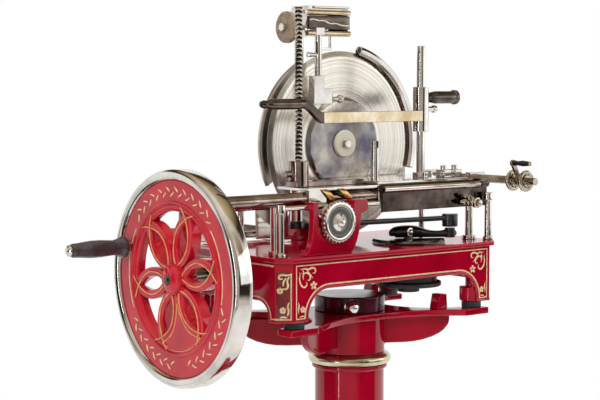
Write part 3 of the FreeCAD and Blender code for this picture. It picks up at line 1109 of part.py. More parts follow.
def make_sharpener():
    """Sharpener: rear post, box head on the post, two stones, stem and honing bracket."""
    node("sharpener_post", rod("SharpenerPost", "sharp_post_radius",
                               "sharp_z + sharp_height/2 - blade_z + 20",
                               ("sharp_x", "sharp_post_y", "blade_z - 20")))
    shell = box("HousingShell", ("sharp_length", "sharp_depth", "sharp_height"),
                ("sharp_x - sharp_length/2", "blade_y - sharp_depth/2", "sharp_z - sharp_height/2"))
    window = box("HousingWindow", ("sharp_length * 0.5", "sharp_depth - 14", "sharp_height - 16"),
                 ("sharp_x - 2", "blade_y - sharp_depth/2 - 1", "sharp_z - sharp_height/2 + 8"))
    sleeve = rod("HousingSleeve", "sharp_post_radius + 6", "sharp_height",
                 ("sharp_x", "sharp_post_y", "sharp_z - sharp_height/2"))
    bridge = box("HousingBridge", ("24", "sharp_post_y - blade_y - sharp_depth/2", "20"),
                 ("sharp_x - 12", "blade_y + sharp_depth/2", "sharp_z - 10"))
    hole = rod("HousingHole", "sharp_post_radius + running_gap", "sharp_height + 2",
               ("sharp_x", "sharp_post_y", "sharp_z - sharp_height/2 - 1"))
    left = "sharp_x - sharp_length/2"
    stone_z = "sharp_z - 12"
    axle = rod("StoneAxle", "5", "stone_reach + 24",
               (left + " - stone_reach - 14", "blade_y - 8", stone_z), "x")
    nut = hexagon("StoneNut", "8", "6",
                  (left + " - stone_reach - 20", "blade_y - 8", stone_z), "x")
    cover = box("HousingCover", ("sharp_length - cover_step", "sharp_depth + 4", "cover_thickness"),
                ("sharp_x - sharp_length/2 + cover_step", "blade_y - sharp_depth/2 - 4",
                 "sharp_z + sharp_height/2 - cover_thickness"))
    sill = box("HousingSill", ("sharp_length * 0.66", "6", "cover_thickness + 1"),
               ("sharp_x - sharp_length * 0.16", "blade_y - sharp_depth/2 - 5",
                "sharp_z - sharp_height/2"))
    tie = rod("HousingTie", "5", "sharp_length * 0.3",
              ("sharp_x - sharp_length/2 + 4", "blade_y - sharp_depth/2 - 2",
               "sharp_z - 2"), "x")
    solid = fuse("HousingSolid", cut("HousingOpen", shell, window), cover, sill, tie, sleeve,
                 bridge, axle, nut)
    node("sharpener_housing", cut("SharpenerHousing", solid, hole))
    node("sharpening_stone", turned("SharpeningStone", [
        ("5 + running_gap", 0), ("stone_radius - 2", 0), ("stone_radius", 2),
        ("stone_radius", "stone_width"), ("5 + running_gap", "stone_width")],
        (left + " - stone_reach", "blade_y - 8", stone_z), "-x"))
    stem_x = "sharp_x - stem_shift"
    stem_y = "blade_y - dish_depth - 18"
    stem = rod("StemBar", "stem_radius", "stem_length + 16",
               (stem_x, stem_y, "sharp_z - sharp_height/2 - stem_length"))
    low = "sharp_z - sharp_height/2 - stem_length - sharp_bracket * 0.4"
    block = box("HoneBlock", ("44", "16", "sharp_bracket"),
                (stem_x + " - 16", stem_y + " - 8", low))
    notch = box("HoneNotch", ("20", "20", "sharp_bracket * 0.5"),
                (stem_x + " + 9", stem_y + " - 10", low + " + sharp_bracket * 0.55"))
    horn = rod("HoneHorn", "4", "44", (stem_x, stem_y + " - 4", low + " + 9"), "x")
    knob = turned("HoneKnob", [(0, 0), ("3", 0)] + rounded("8", "1"),
                  (stem_x + " + 40", stem_y + " - 4", low + " + 9"), "x")
    hang = box("StemHanger", ("20", "blade_y - sharp_depth/2 - (%s) + 8" % stem_y, "14"),
               (stem_x + " - 10", stem_y + " - 7", "sharp_z - sharp_height/2 + 2"))
    clear = box("StemHangerRoom", ("sharp_length", "sharp_depth", "sharp_height"),
                ("sharp_x - sharp_length/2", "blade_y - sharp_depth/2", "sharp_z - sharp_height/2"))
    thin = rod("ThinStem", "thin_stem_radius", "thin_stem_length",
               (stem_x + " + 30", stem_y + " + 2", "sharp_z - sharp_height/2 - thin_stem_length"))
    foot = box("ThinStemFoot", ("30", "6", "5"),
               (stem_x, stem_y + " - 1", "sharp_z - sharp_height/2 - thin_stem_length"))
    lever = cone("StemLever", 3, 5, "stem_lever",
                 (stem_x, stem_y, "sharp_z - sharp_height/2 - thin_stem_length - 8"), "-x")
    solid = fuse("StemSolid", stem, cut("HoneBody", block, notch), horn, knob, hang, thin, foot,
                 lever)
    node("sharpener_stem", cut("SharpenerStem", solid, clear))


def check_document():
    """Stop with a message if any object failed or any sub-part is unsound."""
    faults = [item.Label for item in DOC.Objects
              if "Invalid" in item.State or "Error" in item.State]
    for item in NODES:
        if item.Shape.isNull() or not item.Shape.isValid() or not item.Shape.Solids:
            faults.append("shape of " + item.Label)
    if faults:
        raise RuntimeError("faulty objects: " + ", ".join(faults))


def main():
    """Build every sub-part and write each one to its own file."""
    for make in (make_foot, make_column, make_column_bead, make_plate, make_turret, make_lock_knob,
                 make_base, make_pads, make_gear_case, make_wheel, make_wheel_shaft, make_grip,
                 make_crank, make_connecting_rod, make_rails, make_corner_posts, make_yoke,
                 make_dial, make_carriage, make_table, make_feed, make_clamp_lever, make_press,
                 make_blade, make_pillar, make_guards, make_tray, make_sharpener):
        make()
    DOC.recompute()
    check_document()
    os.makedirs("parts", exist_ok=True)
    for item in NODES:
        item.Shape.exportStep("parts/%s.step" % item.Label)
    print("wrote %d sub-parts" % len(NODES))


main()
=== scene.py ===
"""Visual model of a hand cranked meat slicer on its cast pedestal.

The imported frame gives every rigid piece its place. Units are metres with +Z up;
sizes below are written in millimetres times MM. The carriage travels along X and
the blade stands across Y.
"""
import json
import logging
import math
from collections.abc import Sequence
from dataclasses import dataclass, field
from enum import Enum

import bpy
from mathutils import Matrix, Vector

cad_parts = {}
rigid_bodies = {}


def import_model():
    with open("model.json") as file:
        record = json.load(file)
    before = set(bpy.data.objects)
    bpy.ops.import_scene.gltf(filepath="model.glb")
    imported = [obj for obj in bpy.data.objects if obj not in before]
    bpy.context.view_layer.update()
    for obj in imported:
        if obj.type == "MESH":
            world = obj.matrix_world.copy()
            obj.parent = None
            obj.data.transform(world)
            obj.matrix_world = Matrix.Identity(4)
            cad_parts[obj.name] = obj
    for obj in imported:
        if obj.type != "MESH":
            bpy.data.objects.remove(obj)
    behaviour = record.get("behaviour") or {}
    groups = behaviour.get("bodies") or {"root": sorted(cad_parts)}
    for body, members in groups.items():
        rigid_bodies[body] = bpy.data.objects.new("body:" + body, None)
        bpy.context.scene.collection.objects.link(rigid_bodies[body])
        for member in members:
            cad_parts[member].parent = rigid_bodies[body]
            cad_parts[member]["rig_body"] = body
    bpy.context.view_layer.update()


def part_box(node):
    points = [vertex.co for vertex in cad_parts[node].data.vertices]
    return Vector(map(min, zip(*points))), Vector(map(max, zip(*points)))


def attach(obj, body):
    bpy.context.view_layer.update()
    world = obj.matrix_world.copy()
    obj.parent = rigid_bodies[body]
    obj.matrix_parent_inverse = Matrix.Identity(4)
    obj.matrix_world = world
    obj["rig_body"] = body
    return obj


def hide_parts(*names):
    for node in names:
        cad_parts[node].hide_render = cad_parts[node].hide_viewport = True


LOG = logging.getLogger("meat_slicer")
MM = 0.001
Point = tuple[float, float, float]
Line = Sequence[tuple[float, float]]
Settings = dict[str | int, object]


class Axis(Enum):
    """Direction that a turned piece runs along."""

    RIGHT = (1.0, 0.0, 0.0)
    LEFT = (-1.0, 0.0, 0.0)
    BACK = (0.0, 1.0, 0.0)
    FRONT = (0.0, -1.0, 0.0)
    UP = (0.0, 0.0, 1.0)


# ------------------------------------------------------------------ finishes

def linear(code: str) -> tuple[float, float, float, float]:
    """Turn an sRGB hex code into a linear colour.

    Args:
        code: six hex digits after a hash sign.

    Returns:
        Red, green, blue and alpha.
    """
    parts = [int(code[i:i + 2], 16) / 255 for i in (1, 3, 5)]
    lit = [p / 12.92 if p <= 0.04045 else ((p + 0.055) / 1.055) ** 2.4 for p in parts]
    return (lit[0], lit[1], lit[2], 1.0)


def add_node(tree: bpy.types.NodeTree, kind: str, settings: Settings | None = None,
             links: Settings | None = None,
             stops: Sequence[tuple[float, str]] = ()) -> bpy.types.Node:
    """Add a node with its settings and its incoming links.

    Args:
        tree: node tree that gets the node.
        kind: Blender's name of the node type.
        settings: values by socket name or number, or by the node's own property.
        links: output sockets by the name or number of the input they feed.
        stops: places and sRGB codes of a colour ramp.

    Returns:
        The new node.
    """
    item = tree.nodes.new(kind)
    for key, value in (settings or {}).items():
        if isinstance(key, int) or key in item.inputs:
            item.inputs[key].default_value = value
        else:
            setattr(item, key, value)
    for key, socket in (links or {}).items():
        tree.links.new(socket, item.inputs[key])
    if stops:
        band = item.color_ramp.elements
        while len(band) < len(stops):
            band.new(0.5)
        for spot, (place, code) in zip(band, stops):
            spot.position = place
            spot.color = linear(code)
    return item


def emptied(owner: bpy.types.Material | bpy.types.World) -> bpy.types.NodeTree:
    """Let a material or a world use nodes, and take away the ones it starts with.

    Args:
        owner: the material or the world.

    Returns:
        Its empty node tree.
    """
    owner.use_nodes = True
    owner.node_tree.nodes.clear()
    return owner.node_tree


@dataclass(frozen=True)
class Finish:
    """A finish that starts from a shader, fine relief and roughness that varies.

    Attributes:
        name: what the real surface is and how it was made.
        tones: dark, middle and light sRGB codes of its colour.
        metallic: 1 for bare metal.
        roughness: roughness of the well rubbed places and of the dull ones.
        patch: size in metres of the patches that the colour and gloss vary over.
        relief: size in metres of the fine relief.
        depth: height in metres of the fine relief.
        coat: weight of a clear coat.
        tone_reach: how far through the tones the patches reach, to each side of the middle.
    """

    name: str
    tones: tuple[str, str, str]
    metallic: float
    roughness: tuple[float, float]
    patch: float
    relief: float
    depth: float
    coat: float = 0.0
    tone_reach: float = 0.5

    def build(self) -> bpy.types.Material:
        """Make the material.

        Returns:
            The finished material.
        """
        made = bpy.data.materials.get(self.name)
        if made:
            return made
        made = bpy.data.materials.new(self.name)
        tree = emptied(made)
        place = add_node(tree, "ShaderNodeTexCoord").outputs["Object"]
        patches = add_node(tree, "ShaderNodeTexNoise",
                           {"Scale": 1 / self.patch, "Detail": 4.0, "Roughness": 0.55},
                           {"Vector": place}).outputs["Fac"]
        spread = add_node(tree, "ShaderNodeMapRange",
                          {"From Min": 0.25, "From Max": 0.75,
                           "To Min": 0.5 - self.tone_reach, "To Max": 0.5 + self.tone_reach},
                          {"Value": patches}).outputs["Result"]
        colour = self.colour(tree, place, spread)
        gloss = add_node(tree, "ShaderNodeMapRange",
                         {"From Min": 0.3, "From Max": 0.7,
                          "To Min": self.roughness[0], "To Max": self.roughness[1]},
                         {"Value": patches}).outputs["Result"]
        bump = add_node(tree, "ShaderNodeBump", {"Strength": 1.0, "Distance": self.depth},
                        {"Height": self.height(tree, place)}).outputs["Normal"]
        shader = add_node(tree, "ShaderNodeBsdfPrincipled",
                          {"Metallic": self.metallic, "Coat Weight": self.coat,
                           "Coat Roughness": 0.04},
                          {"Base Color": colour, "Roughness": gloss, "Normal": bump})
        add_node(tree, "ShaderNodeOutputMaterial", links={"Surface": shader.outputs["BSDF"]})
        return made

    def colour(self, tree: bpy.types.NodeTree, place: bpy.types.NodeSocket,
               spread: bpy.types.NodeSocket) -> bpy.types.NodeSocket:
        """Lead the patches through the three tones."""
        return add_node(tree, "ShaderNodeValToRGB", links={"Fac": spread},
                        stops=tuple(zip((0.0, 0.5, 1.0), self.tones))).outputs["Color"]

    def height(self, tree: bpy.types.NodeTree,
               place: bpy.types.NodeSocket) -> bpy.types.NodeSocket:
        """Soft irregular relief."""
        return add_node(tree, "ShaderNodeTexNoise", {"Scale": 1 / self.relief, "Detail": 2.0},
                        {"Vector": place}).outputs["Fac"]


@dataclass(frozen=True)
class PebbledFinish(Finish):
    """A cast or cut surface whose relief is grains, as on iron, rubber or grit."""

    def height(self, tree: bpy.types.NodeTree,
               place: bpy.types.NodeSocket) -> bpy.types.NodeSocket:
        """Grains side by side."""
        return add_node(tree, "ShaderNodeTexVoronoi", {"Scale": 1 / self.relief},
                        {"Vector": place}).outputs["Distance"]


@dataclass(frozen=True)
class GroundFinish(Finish):
    """A surface ground on a turntable, with rings about an axis along Y.

    Attributes:
        centre: a point on the axis, in metres.
        ring: distance in metres from ring to ring.
    """

    centre: Point = (0.0, 0.0, 0.0)
    ring: float = 4 * MM

    def distance(self, tree: bpy.types.NodeTree,
                 place: bpy.types.NodeSocket) -> bpy.types.NodeSocket:
        """Measure the distance from the axis.

        Args:
            tree: the material's nodes.
            place: socket of the place on the piece.

        Returns:
            The socket of the distance in metres.
        """
        shifted = add_node(tree, "ShaderNodeVectorMath",
                           {"operation": "SUBTRACT", 1: self.centre}, {0: place})
        flat = add_node(tree, "ShaderNodeVectorMath",
                        {"operation": "MULTIPLY", 1: (1.0, 0.0, 1.0)},
                        {0: shifted.outputs["Vector"]})
        return add_node(tree, "ShaderNodeVectorMath", {"operation": "LENGTH"},
                        {0: flat.outputs["Vector"]}).outputs["Value"]

    def rings(self, tree: bpy.types.NodeTree,
              place: bpy.types.NodeSocket) -> bpy.types.NodeSocket:
        """Make noise that depends on the distance from the axis alone.

        Args:
            tree: the material's nodes.
            place: socket of the place on the piece.

        Returns:
            The socket of the noise.
        """
        far = self.distance(tree, place)
        return add_node(tree, "ShaderNodeTexNoise",
                        {"noise_dimensions": "1D", "Scale": 1 / self.ring, "Detail": 6.0,
                         "Roughness": 0.7}, {"W": far}).outputs["Fac"]

    def colour(self, tree: bpy.types.NodeTree, place: bpy.types.NodeSocket,
               spread: bpy.types.NodeSocket) -> bpy.types.NodeSocket:
        """Tones that follow the rings."""
        return add_node(tree, "ShaderNodeValToRGB", links={"Fac": self.rings(tree, place)},
                        stops=tuple(zip((0.3, 0.5, 0.7), self.tones))).outputs["Color"]

    def height(self, tree: bpy.types.NodeTree,
               place: bpy.types.NodeSocket) -> bpy.types.NodeSocket:
        """Grooves that follow the rings."""
        return self.rings(tree, place)


@dataclass(frozen=True)
class BladeFinish(GroundFinish):
    """Ground steel with a mirror polished dish in its middle, drawn dark and clouded as a painted
    reflection.

    Attributes:
        dish: radius in metres of the dish.
        dish_reflection_tones: dark, middle and light sRGB codes of the painted reflection inside
            the dish.
    """

    dish: float = 88 * MM
    dish_reflection_tones: tuple[str, str, str] = ("#5F5B6C", "#A5A09C", "#E0DACF")

    def colour(self, tree: bpy.types.NodeTree, place: bpy.types.NodeSocket,
               spread: bpy.types.NodeSocket) -> bpy.types.NodeSocket:
        """Lay ring tones outside the dish, and clouded dark tones inside it as a painted
        reflection.

        Args:
            tree: the material's nodes.
            place: socket of the place on the piece.
            spread: socket of the patches.

        Returns:
            The colour socket.
        """
        outer = super().colour(tree, place, spread)
        inner = add_node(tree, "ShaderNodeValToRGB", links={"Fac": spread},
                         stops=tuple(zip((0.15, 0.5, 0.85), self.dish_reflection_tones))).outputs["Color"]
        share = add_node(tree, "ShaderNodeMapRange",
                         {"From Min": self.dish - 1 * MM, "From Max": self.dish + 1 * MM},
                         {"Value": self.distance(tree, place)}).outputs["Result"]
        mix = add_node(tree, "ShaderNodeMix", {"data_type": "RGBA"}, {0: share, 6: inner, 7: outer})
        return mix.outputs[2]


@dataclass(frozen=True)
class RackFinish(Finish):
    """A cut rack: dark oily roots between bright worn teeth, slanting across the bar.

    Attributes:
        pitch: distance in metres from tooth to tooth.
    """

    pitch: float = 7.6 * MM

    def teeth(self, tree: bpy.types.NodeTree,
              place: bpy.types.NodeSocket) -> bpy.types.NodeSocket:
        """Shape the teeth as a wave along the bar.

        Args:
            tree: the material's nodes.
            place: socket of the place on the piece.

        Returns:
            The socket of their height, from -1 in the roots to 1 on the tips.
        """
        along = add_node(tree, "ShaderNodeVectorMath",
                         {"operation": "DOT_PRODUCT", 1: (0.35, 0.35, 1.0)},
                         {0: place}).outputs["Value"]
        turn = add_node(tree, "ShaderNodeMath", {"operation": "MULTIPLY",
                                                 1: 2 * math.pi / self.pitch}, {0: along})
        return add_node(tree, "ShaderNodeMath", {"operation": "SINE"},
                        {0: turn.outputs["Value"]}).outputs["Value"]

    def colour(self, tree: bpy.types.NodeTree, place: bpy.types.NodeSocket,
               spread: bpy.types.NodeSocket) -> bpy.types.NodeSocket:
        """Colour the roots dark and the tips bright.

        Args:
            tree: the material's nodes.
            place: socket of the place on the piece.
            spread: socket of the patches, which the teeth leave aside.

        Returns:
            The colour socket.
        """
        level = add_node(tree, "ShaderNodeMapRange", {"From Min": -1.0, "From Max": 1.0},
                         {"Value": self.teeth(tree, place)}).outputs["Result"]
        return add_node(tree, "ShaderNodeValToRGB", links={"Fac": level},
                        stops=tuple(zip((0.35, 0.6, 0.8), self.tones))).outputs["Color"]

    def height(self, tree: bpy.types.NodeTree,
               place: bpy.types.NodeSocket) -> bpy.types.NodeSocket:
        """Teeth as relief."""
        return self.teeth(tree, place)


# Gloss enamel over cast iron: a deep even crimson with a wet shine and a faint orange peel.
CRIMSON = Finish("crimson_gloss_enamel", ("#8E001C", "#A00022", "#AC0228"), 0.0, (0.05, 0.1),
                 70 * MM, 30 * MM, 0.03 * MM)
# The wheel's enamel: the same paint drawn a touch lighter, as painted light on the wheel's face
# that turns to the key lamp.
WHEEL_RED_PAINTED_LIGHT = Finish("scarlet_gloss_enamel", ("#A80A20", "#BE1428", "#CB2636"), 0.0, (0.04, 0.1),
                 60 * MM, 24 * MM, 0.04 * MM)
# The same enamel in the shade of the pedestal's castings, browner and duller.
MAROON = Finish("maroon_enamel", ("#360E18", "#4C1522", "#5E1D2C"), 0.0, (0.1, 0.2),
                40 * MM, 20 * MM, 0.04 * MM)
# Hand laid pale gold striping paint: soft sheen, slightly uneven cover.
GILT = Finish("pale_gold_striping", ("#C2A878", "#DDC79A", "#EBDAB4"), 0.0, (0.35, 0.5),
              9 * MM, 1.5 * MM, 0.03 * MM)
# Thin amber striping enamel: the red shows through it, so it looks orange.
AMBER = Finish("amber_striping_enamel", ("#B9733F", "#D69A5E", "#E4B67E"), 0.0, (0.3, 0.45),
               8 * MM, 1.5 * MM, 0.03 * MM)
# Polished chrome plate: mirror bright, with the faint waviness of buffed steel below it.
CHROME = Finish("polished_chrome_plate", ("#BEB9B4", "#D8D4CF", "#E8E5E1"), 1.0, (0.04, 0.1),
                45 * MM, 24 * MM, 0.12 * MM)
# Buffed steel bar: a little brown from oil, with long soft reflections.
BUFFED = Finish("buffed_steel_bar", ("#6A5B54", "#94867E", "#BAAFA8"), 1.0, (0.08, 0.16),
                38 * MM, 16 * MM, 0.1 * MM)
# Nickel plate: warmer and softer than chrome, with handling haze.
NICKEL = Finish("satin_nickel_plate", ("#8E8476", "#B5AA9B", "#D3CABD"), 1.0, (0.12, 0.24),
                24 * MM, 8 * MM, 0.08 * MM)
# Cream tinted nickel on the turned bead: bright and faintly green-yellow.
PALE_NICKEL = Finish("pale_nickel_plate", ("#A79C80", "#C9C2A6", "#E6E2CE"), 1.0, (0.14, 0.24),
                     60 * MM, 12 * MM, 0.05 * MM)
# Lacquered brass: warm gold that mirrors the room softly.
BRASS = Finish("lacquered_brass", ("#8F6C34", "#B8935A", "#DCC08C"), 1.0, (0.12, 0.24),
               20 * MM, 9 * MM, 0.06 * MM)
# Dark polished steel: oiled, almost black where it mirrors the room.
STEEL_DARK = Finish("oiled_dark_steel", ("#423A36", "#5D544E", "#7B716A"), 1.0, (0.08, 0.18),
                    35 * MM, 12 * MM, 0.08 * MM)
# Tarnished plate on the apron: brown-black patches under a mirror shine.
TARNISHED = Finish("tarnished_plate", ("#352C29", "#50463F", "#6E625A"), 1.0, (0.05, 0.14),
                   26 * MM, 40 * MM, 0.3 * MM, tone_reach=0.7)
# Black stoving enamel on forged steel: deep black with sharp lights.
BLACK = Finish("black_stoving_enamel", ("#070707", "#0D0C0D", "#171516"), 0.0, (0.14, 0.26),
               30 * MM, 4 * MM, 0.03 * MM, coat=0.4)
# Iron casting, primed and oiled: dark grey with the sand's grain (drawn coarser than sand).
IRON = PebbledFinish("primed_cast_iron", ("#262626", "#363535", "#484644"), 0.35, (0.4, 0.55),
                     30 * MM, 2.5 * MM, 0.12 * MM)
# Turned ebonite: dark grey-brown, soft gloss from many hands.
EBONITE = Finish("turned_ebonite", ("#2A2528", "#3A3337", "#50484C"), 0.0, (0.2, 0.34),
                 26 * MM, 3 * MM, 0.04 * MM, coat=0.25)
# Moulded black rubber: matt, with dust in its grain.
RUBBER = PebbledFinish("moulded_black_rubber", ("#1B2022", "#273033", "#364246"), 0.0,
                       (0.5, 0.65), 14 * MM, 1.2 * MM, 0.06 * MM)
# Cream enamel on a turned disc: an even, slightly yellowed gloss.
CREAM = Finish("cream_enamel", ("#B7AE9C", "#CDC5B6", "#DBD4C7"), 0.0, (0.2, 0.32),
               20 * MM, 3 * MM, 0.03 * MM, coat=0.4)
# Bonded abrasive: grey-brown grains (drawn coarser than the grit) with loaded patches.
ABRASIVE = PebbledFinish("bonded_abrasive_stone", ("#75624F", "#94806C", "#AE9C87"), 0.0,
                         (0.75, 0.9), 12 * MM, 1.1 * MM, 0.25 * MM)
# Rolled and polished sheet: bright, with the long waves of thin sheet.
SHEET = Finish("polished_steel_sheet", ("#A8A29B", "#C4BEB7", "#DAD5CF"), 1.0, (0.08, 0.16),
               60 * MM, 60 * MM, 0.5 * MM)
# Satin steel sheet: grey light spread wide, no sharp mirror images.
SATIN_SHEET = Finish("satin_steel_sheet", ("#B4AEA6", "#CDC8C1", "#E2DED8"), 1.0, (0.28, 0.4),
                     50 * MM, 40 * MM, 0.1 * MM)
# Cut steel rack with its teeth, brown with oil in the roots.
RACKED = RackFinish("oiled_steel_rack", ("#241F1C", "#6A625B", "#C9C2B8"), 1.0, (0.15, 0.3),
                    20 * MM, 9 * MM, 0.5 * MM)
# Nickel drawn in straw gold tones, as a painted reflection of the warm room and the lamp.
STRAW_REFLECTION = Finish("worn_straw_nickel", ("#BBA376", "#D6C7A6", "#EEE7D8"), 1.0, (0.06, 0.14),
               34 * MM, 20 * MM, 0.1 * MM)
# The painted panel on the slanted corner: crimson drawn darker and browner.
DARKER_CORNER_RED = Finish("brown_glazed_enamel", ("#4A0F18", "#6A1A20", "#7C2A2C"), 0.0, (0.08, 0.18),
                30 * MM, 20 * MM, 0.03 * MM)


# ---------------------------------------------------------------- mesh tools

EDGE_SEGMENTS = 2                   # facets across a rounded edge
SHARP_EDGE = math.radians(32.0)     # edges of a frame node sharper than this are rounded
CORNER_EDGE = math.radians(50.0)    # the same for new sheets and plates


def deselect() -> None:
    """Leave nothing selected and nothing in edit mode."""
    if bpy.context.object and bpy.context.object.mode != "OBJECT":
        bpy.ops.object.mode_set(mode="OBJECT")
    bpy.ops.object.select_all(action="DESELECT")


def activate(piece: bpy.types.Object) -> None:
    """Select one piece and make it the active one.

    Args:
        piece: the piece.
    """
    deselect()
    piece.select_set(True)
    bpy.context.view_layer.objects.active = piece


def edit_all(piece: bpy.types.Object) -> None:
    """Open one piece in edit mode with everything in it selected.

    Args:
        piece: the mesh.
    """
    activate(piece)
    bpy.ops.object.mode_set(mode="EDIT")
    bpy.ops.mesh.select_all(action="SELECT")


def apply_modifier(piece: bpy.types.Object, kind: str, **settings: object) -> None:
    """Add a modifier with its settings and apply it.

    Args:
        piece: mesh that it works on.
        kind: Blender's name of the modifier type.
        **settings: the modifier's properties.
    """
    activate(piece)
    item = piece.modifiers.new(kind.title(), kind)
    for key, value in settings.items():
        setattr(item, key, value)
    bpy.ops.object.modifier_apply(modifier=item.name)


def settle(piece: bpy.types.Object, angle: float = 35.0) -> bpy.types.Object:
    """Put a piece's place into its mesh, close it, turn its faces out and shade it.

    Args:
        piece: finished mesh.
        angle: edges sharper than this many degrees stay sharp.

    Returns:
        The same piece.
    """
    activate(piece)
    bpy.ops.object.transform_apply(location=True, rotation=True, scale=True)
    edit_all(piece)
    bpy.ops.mesh.remove_doubles(threshold=0.005 * MM)
    bpy.ops.mesh.normals_make_consistent(inside=False)
    bpy.ops.object.mode_set(mode="OBJECT")
    bpy.ops.object.shade_smooth_by_angle(angle=math.radians(angle))
    return piece


def softened(node: str, width: float) -> bpy.types.Object:
    """Round the edges of a copy of a frame node, which then stands for the node.

    Args:
        node: name of the frame node.
        width: width of the rounding, in metres, or 0 to smooth the curved faces alone.

    Returns:
        The rounded piece.
    """
    source = bpy.data.objects[node]
    piece = bpy.data.objects.new(node + "_finished", source.data.copy())
    bpy.context.scene.collection.objects.link(piece)
    edit_all(piece)
    bpy.ops.mesh.remove_doubles(threshold=0.01 * MM)
    bpy.ops.object.mode_set(mode="OBJECT")
    if width:
        apply_modifier(piece, "BEVEL", width=width, segments=EDGE_SEGMENTS,
                       limit_method="ANGLE", angle_limit=SHARP_EDGE, use_clamp_overlap=False,
                       harden_normals=False)
    activate(piece)
    bpy.ops.object.shade_smooth_by_angle(angle=math.radians(40))
    apply_modifier(piece, "WEIGHTED_NORMAL", weight=100, keep_sharp=True)
    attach(piece, source["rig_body"])
    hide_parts(node)
    return piece


def curve_through(name: str, points: Sequence[Point], kind: str = "POLY",
                  taper: Sequence[float] | None = None) -> bpy.types.Object:
    """Lay a curve along points.

    Args:
        name: name of the piece.
        points: places of its points, in metres.
        kind: Blender's name of the curve type.
        taper: share of the radius at each point.

    Returns:
        The curve, not yet a mesh.
    """
    deselect()
    bpy.ops.curve.primitive_nurbs_path_add(location=(0, 0, 0))
    piece = bpy.context.object
    piece.name = name
    piece.data.splines.clear()
    line = piece.data.splines.new(kind)
    line.points.add(len(points) - 1)
    for spot, place, share in zip(line.points, points, taper or [1.0] * len(points)):
        spot.co = (*place, 1.0)
        spot.radius = share
    return piece


def edge_line(name: str, points: Sequence[Point]) -> bpy.types.Object:
    """Lay a line of edges along points.

    Args:
        name: name of the piece.
        points: places of its corners, in metres.

    Returns:
        The line as a mesh without faces.
    """
    activate(curve_through(name, points))
    bpy.ops.object.convert(target="MESH")
    return bpy.context.object


def stroke(name: str, points: Sequence[Point], radius: float, closed: bool = False,
           taper: Sequence[float] | None = None, smooth: bool = False) -> bpy.types.Object:
    """Lay a round line of paint or bar along points.

    Args:
        name: name of the piece.
        points: places along its centre line, in metres.
        radius: radius of the line.
        closed: join the end to the start.
        taper: share of the radius at each point.
        smooth: run a smooth curve past the points instead of straight stretches.

    Returns:
        The line as a mesh.
    """
    piece = curve_through(name, points, "NURBS" if smooth else "POLY", taper)
    data = piece.data
    line = data.splines[0]
    line.use_cyclic_u = closed
    if smooth:
        line.order_u = 3
        line.use_endpoint_u = not closed
        line.resolution_u = 6
    data.bevel_depth = radius
    data.bevel_resolution = 2
    data.use_fill_caps = not closed
    activate(piece)
    bpy.ops.object.convert(target="MESH")
    return settle(bpy.context.object, 50.0)


def joined(name: str, pieces: Sequence[bpy.types.Object]) -> bpy.types.Object:
    """Join meshes into one piece.

    Args:
        name: name of the joined piece.
        pieces: meshes to join, all at the origin.

    Returns:
        The joined piece.
    """
    deselect()
    for piece in pieces:
        piece.select_set(True)
    bpy.context.view_layer.objects.active = pieces[0]
    bpy.ops.object.join()
    whole = bpy.context.object
    whole.name = name
    return whole


def dress(piece: bpy.types.Object, finish: Finish) -> bpy.types.Object:
    """Give every slot of a piece one finish.

    Args:
        piece: the mesh.
        finish: what it is finished with.

    Returns:
        The same piece.
    """
    material = finish.build()
    if not piece.data.materials:
        piece.data.materials.append(material)
    for i in range(len(piece.data.materials)):
        piece.data.materials[i] = material
    return piece


def arc(centre: tuple[float, float], radius: float, start: float, end: float,
        steps: int = 10) -> list[tuple[float, float]]:
    """Points on an arc in a plane.

    Args:
        centre: its middle.
        radius: its radius.
        start: first angle in degrees.
        end: last angle in degrees.
        steps: number of stretches.

    Returns:
        The points from start to end.
    """
    turns = [math.radians(start + (end - start) * i / steps) for i in range(steps + 1)]
    return [(centre[0] + radius * math.cos(t), centre[1] + radius * math.sin(t)) for t in turns]


def turned(name: str, outline: Line, start: Point, axis: Axis,
           steps: int = 40) -> bpy.types.Object:
    """Spin an outline about an axis into a solid.

    Args:
        name: name of the piece.
        outline: distance from the axis and place along it, in metres, from end to end.
        start: point of the axis where the outline's places start.
        axis: direction of the axis.
        steps: facets round the piece.

    Returns:
        The turned piece.
    """
    course = Vector(axis.value)
    side = course.orthogonal().normalized()
    origin = Vector(start)
    piece = edge_line(name, [tuple(origin + course * v + side * u) for u, v in outline])
    edit_all(piece)
    bpy.ops.mesh.spin(steps=steps, angle=2 * math.pi, center=start, axis=axis.value)
    return settle(piece, 38.0)


def strip(name: str, points: Sequence[Point], width: Point,
          thickness: float) -> bpy.types.Object:
    """Pull a line sideways into a bent strip of sheet with rounded edges.

    Args:
        name: name of the piece.
        points: places along one edge, in metres.
        width: way from that edge to the other, in metres.
        thickness: thickness of the sheet.

    Returns:
        The strip.
    """
    piece = edge_line(name, points)
    edit_all(piece)
    bpy.ops.mesh.extrude_region_move(TRANSFORM_OT_translate={"value": width})
    bpy.ops.object.mode_set(mode="OBJECT")
    apply_modifier(piece, "SOLIDIFY", thickness=thickness, offset=0.0)
    apply_modifier(piece, "BEVEL", width=thickness * 0.3, segments=2, limit_method="ANGLE",
                   angle_limit=CORNER_EDGE)
    return settle(piece, 40.0)


def copied(piece: bpy.types.Object, pivot: Point, axis: Axis,
           degrees: float) -> bpy.types.Object:
    """Copy a piece with its own mesh and turn the copy about an axis.

    Args:
        piece: mesh to copy, at the origin.
        pivot: point of the axis.
        axis: direction of the axis.
        degrees: how far the copy is turned, by the right hand.

    Returns:
        The turned copy.
    """
    twin = bpy.data.objects.new(piece.name + "_copy", piece.data.copy())
    bpy.context.scene.collection.objects.link(twin)
    spot = Vector(pivot)
    turn = (Matrix.Translation(spot) @ Matrix.Rotation(math.radians(degrees), 4, axis.value)
            @ Matrix.Translation(-spot))
    twin.data.transform(turn)
    return twin


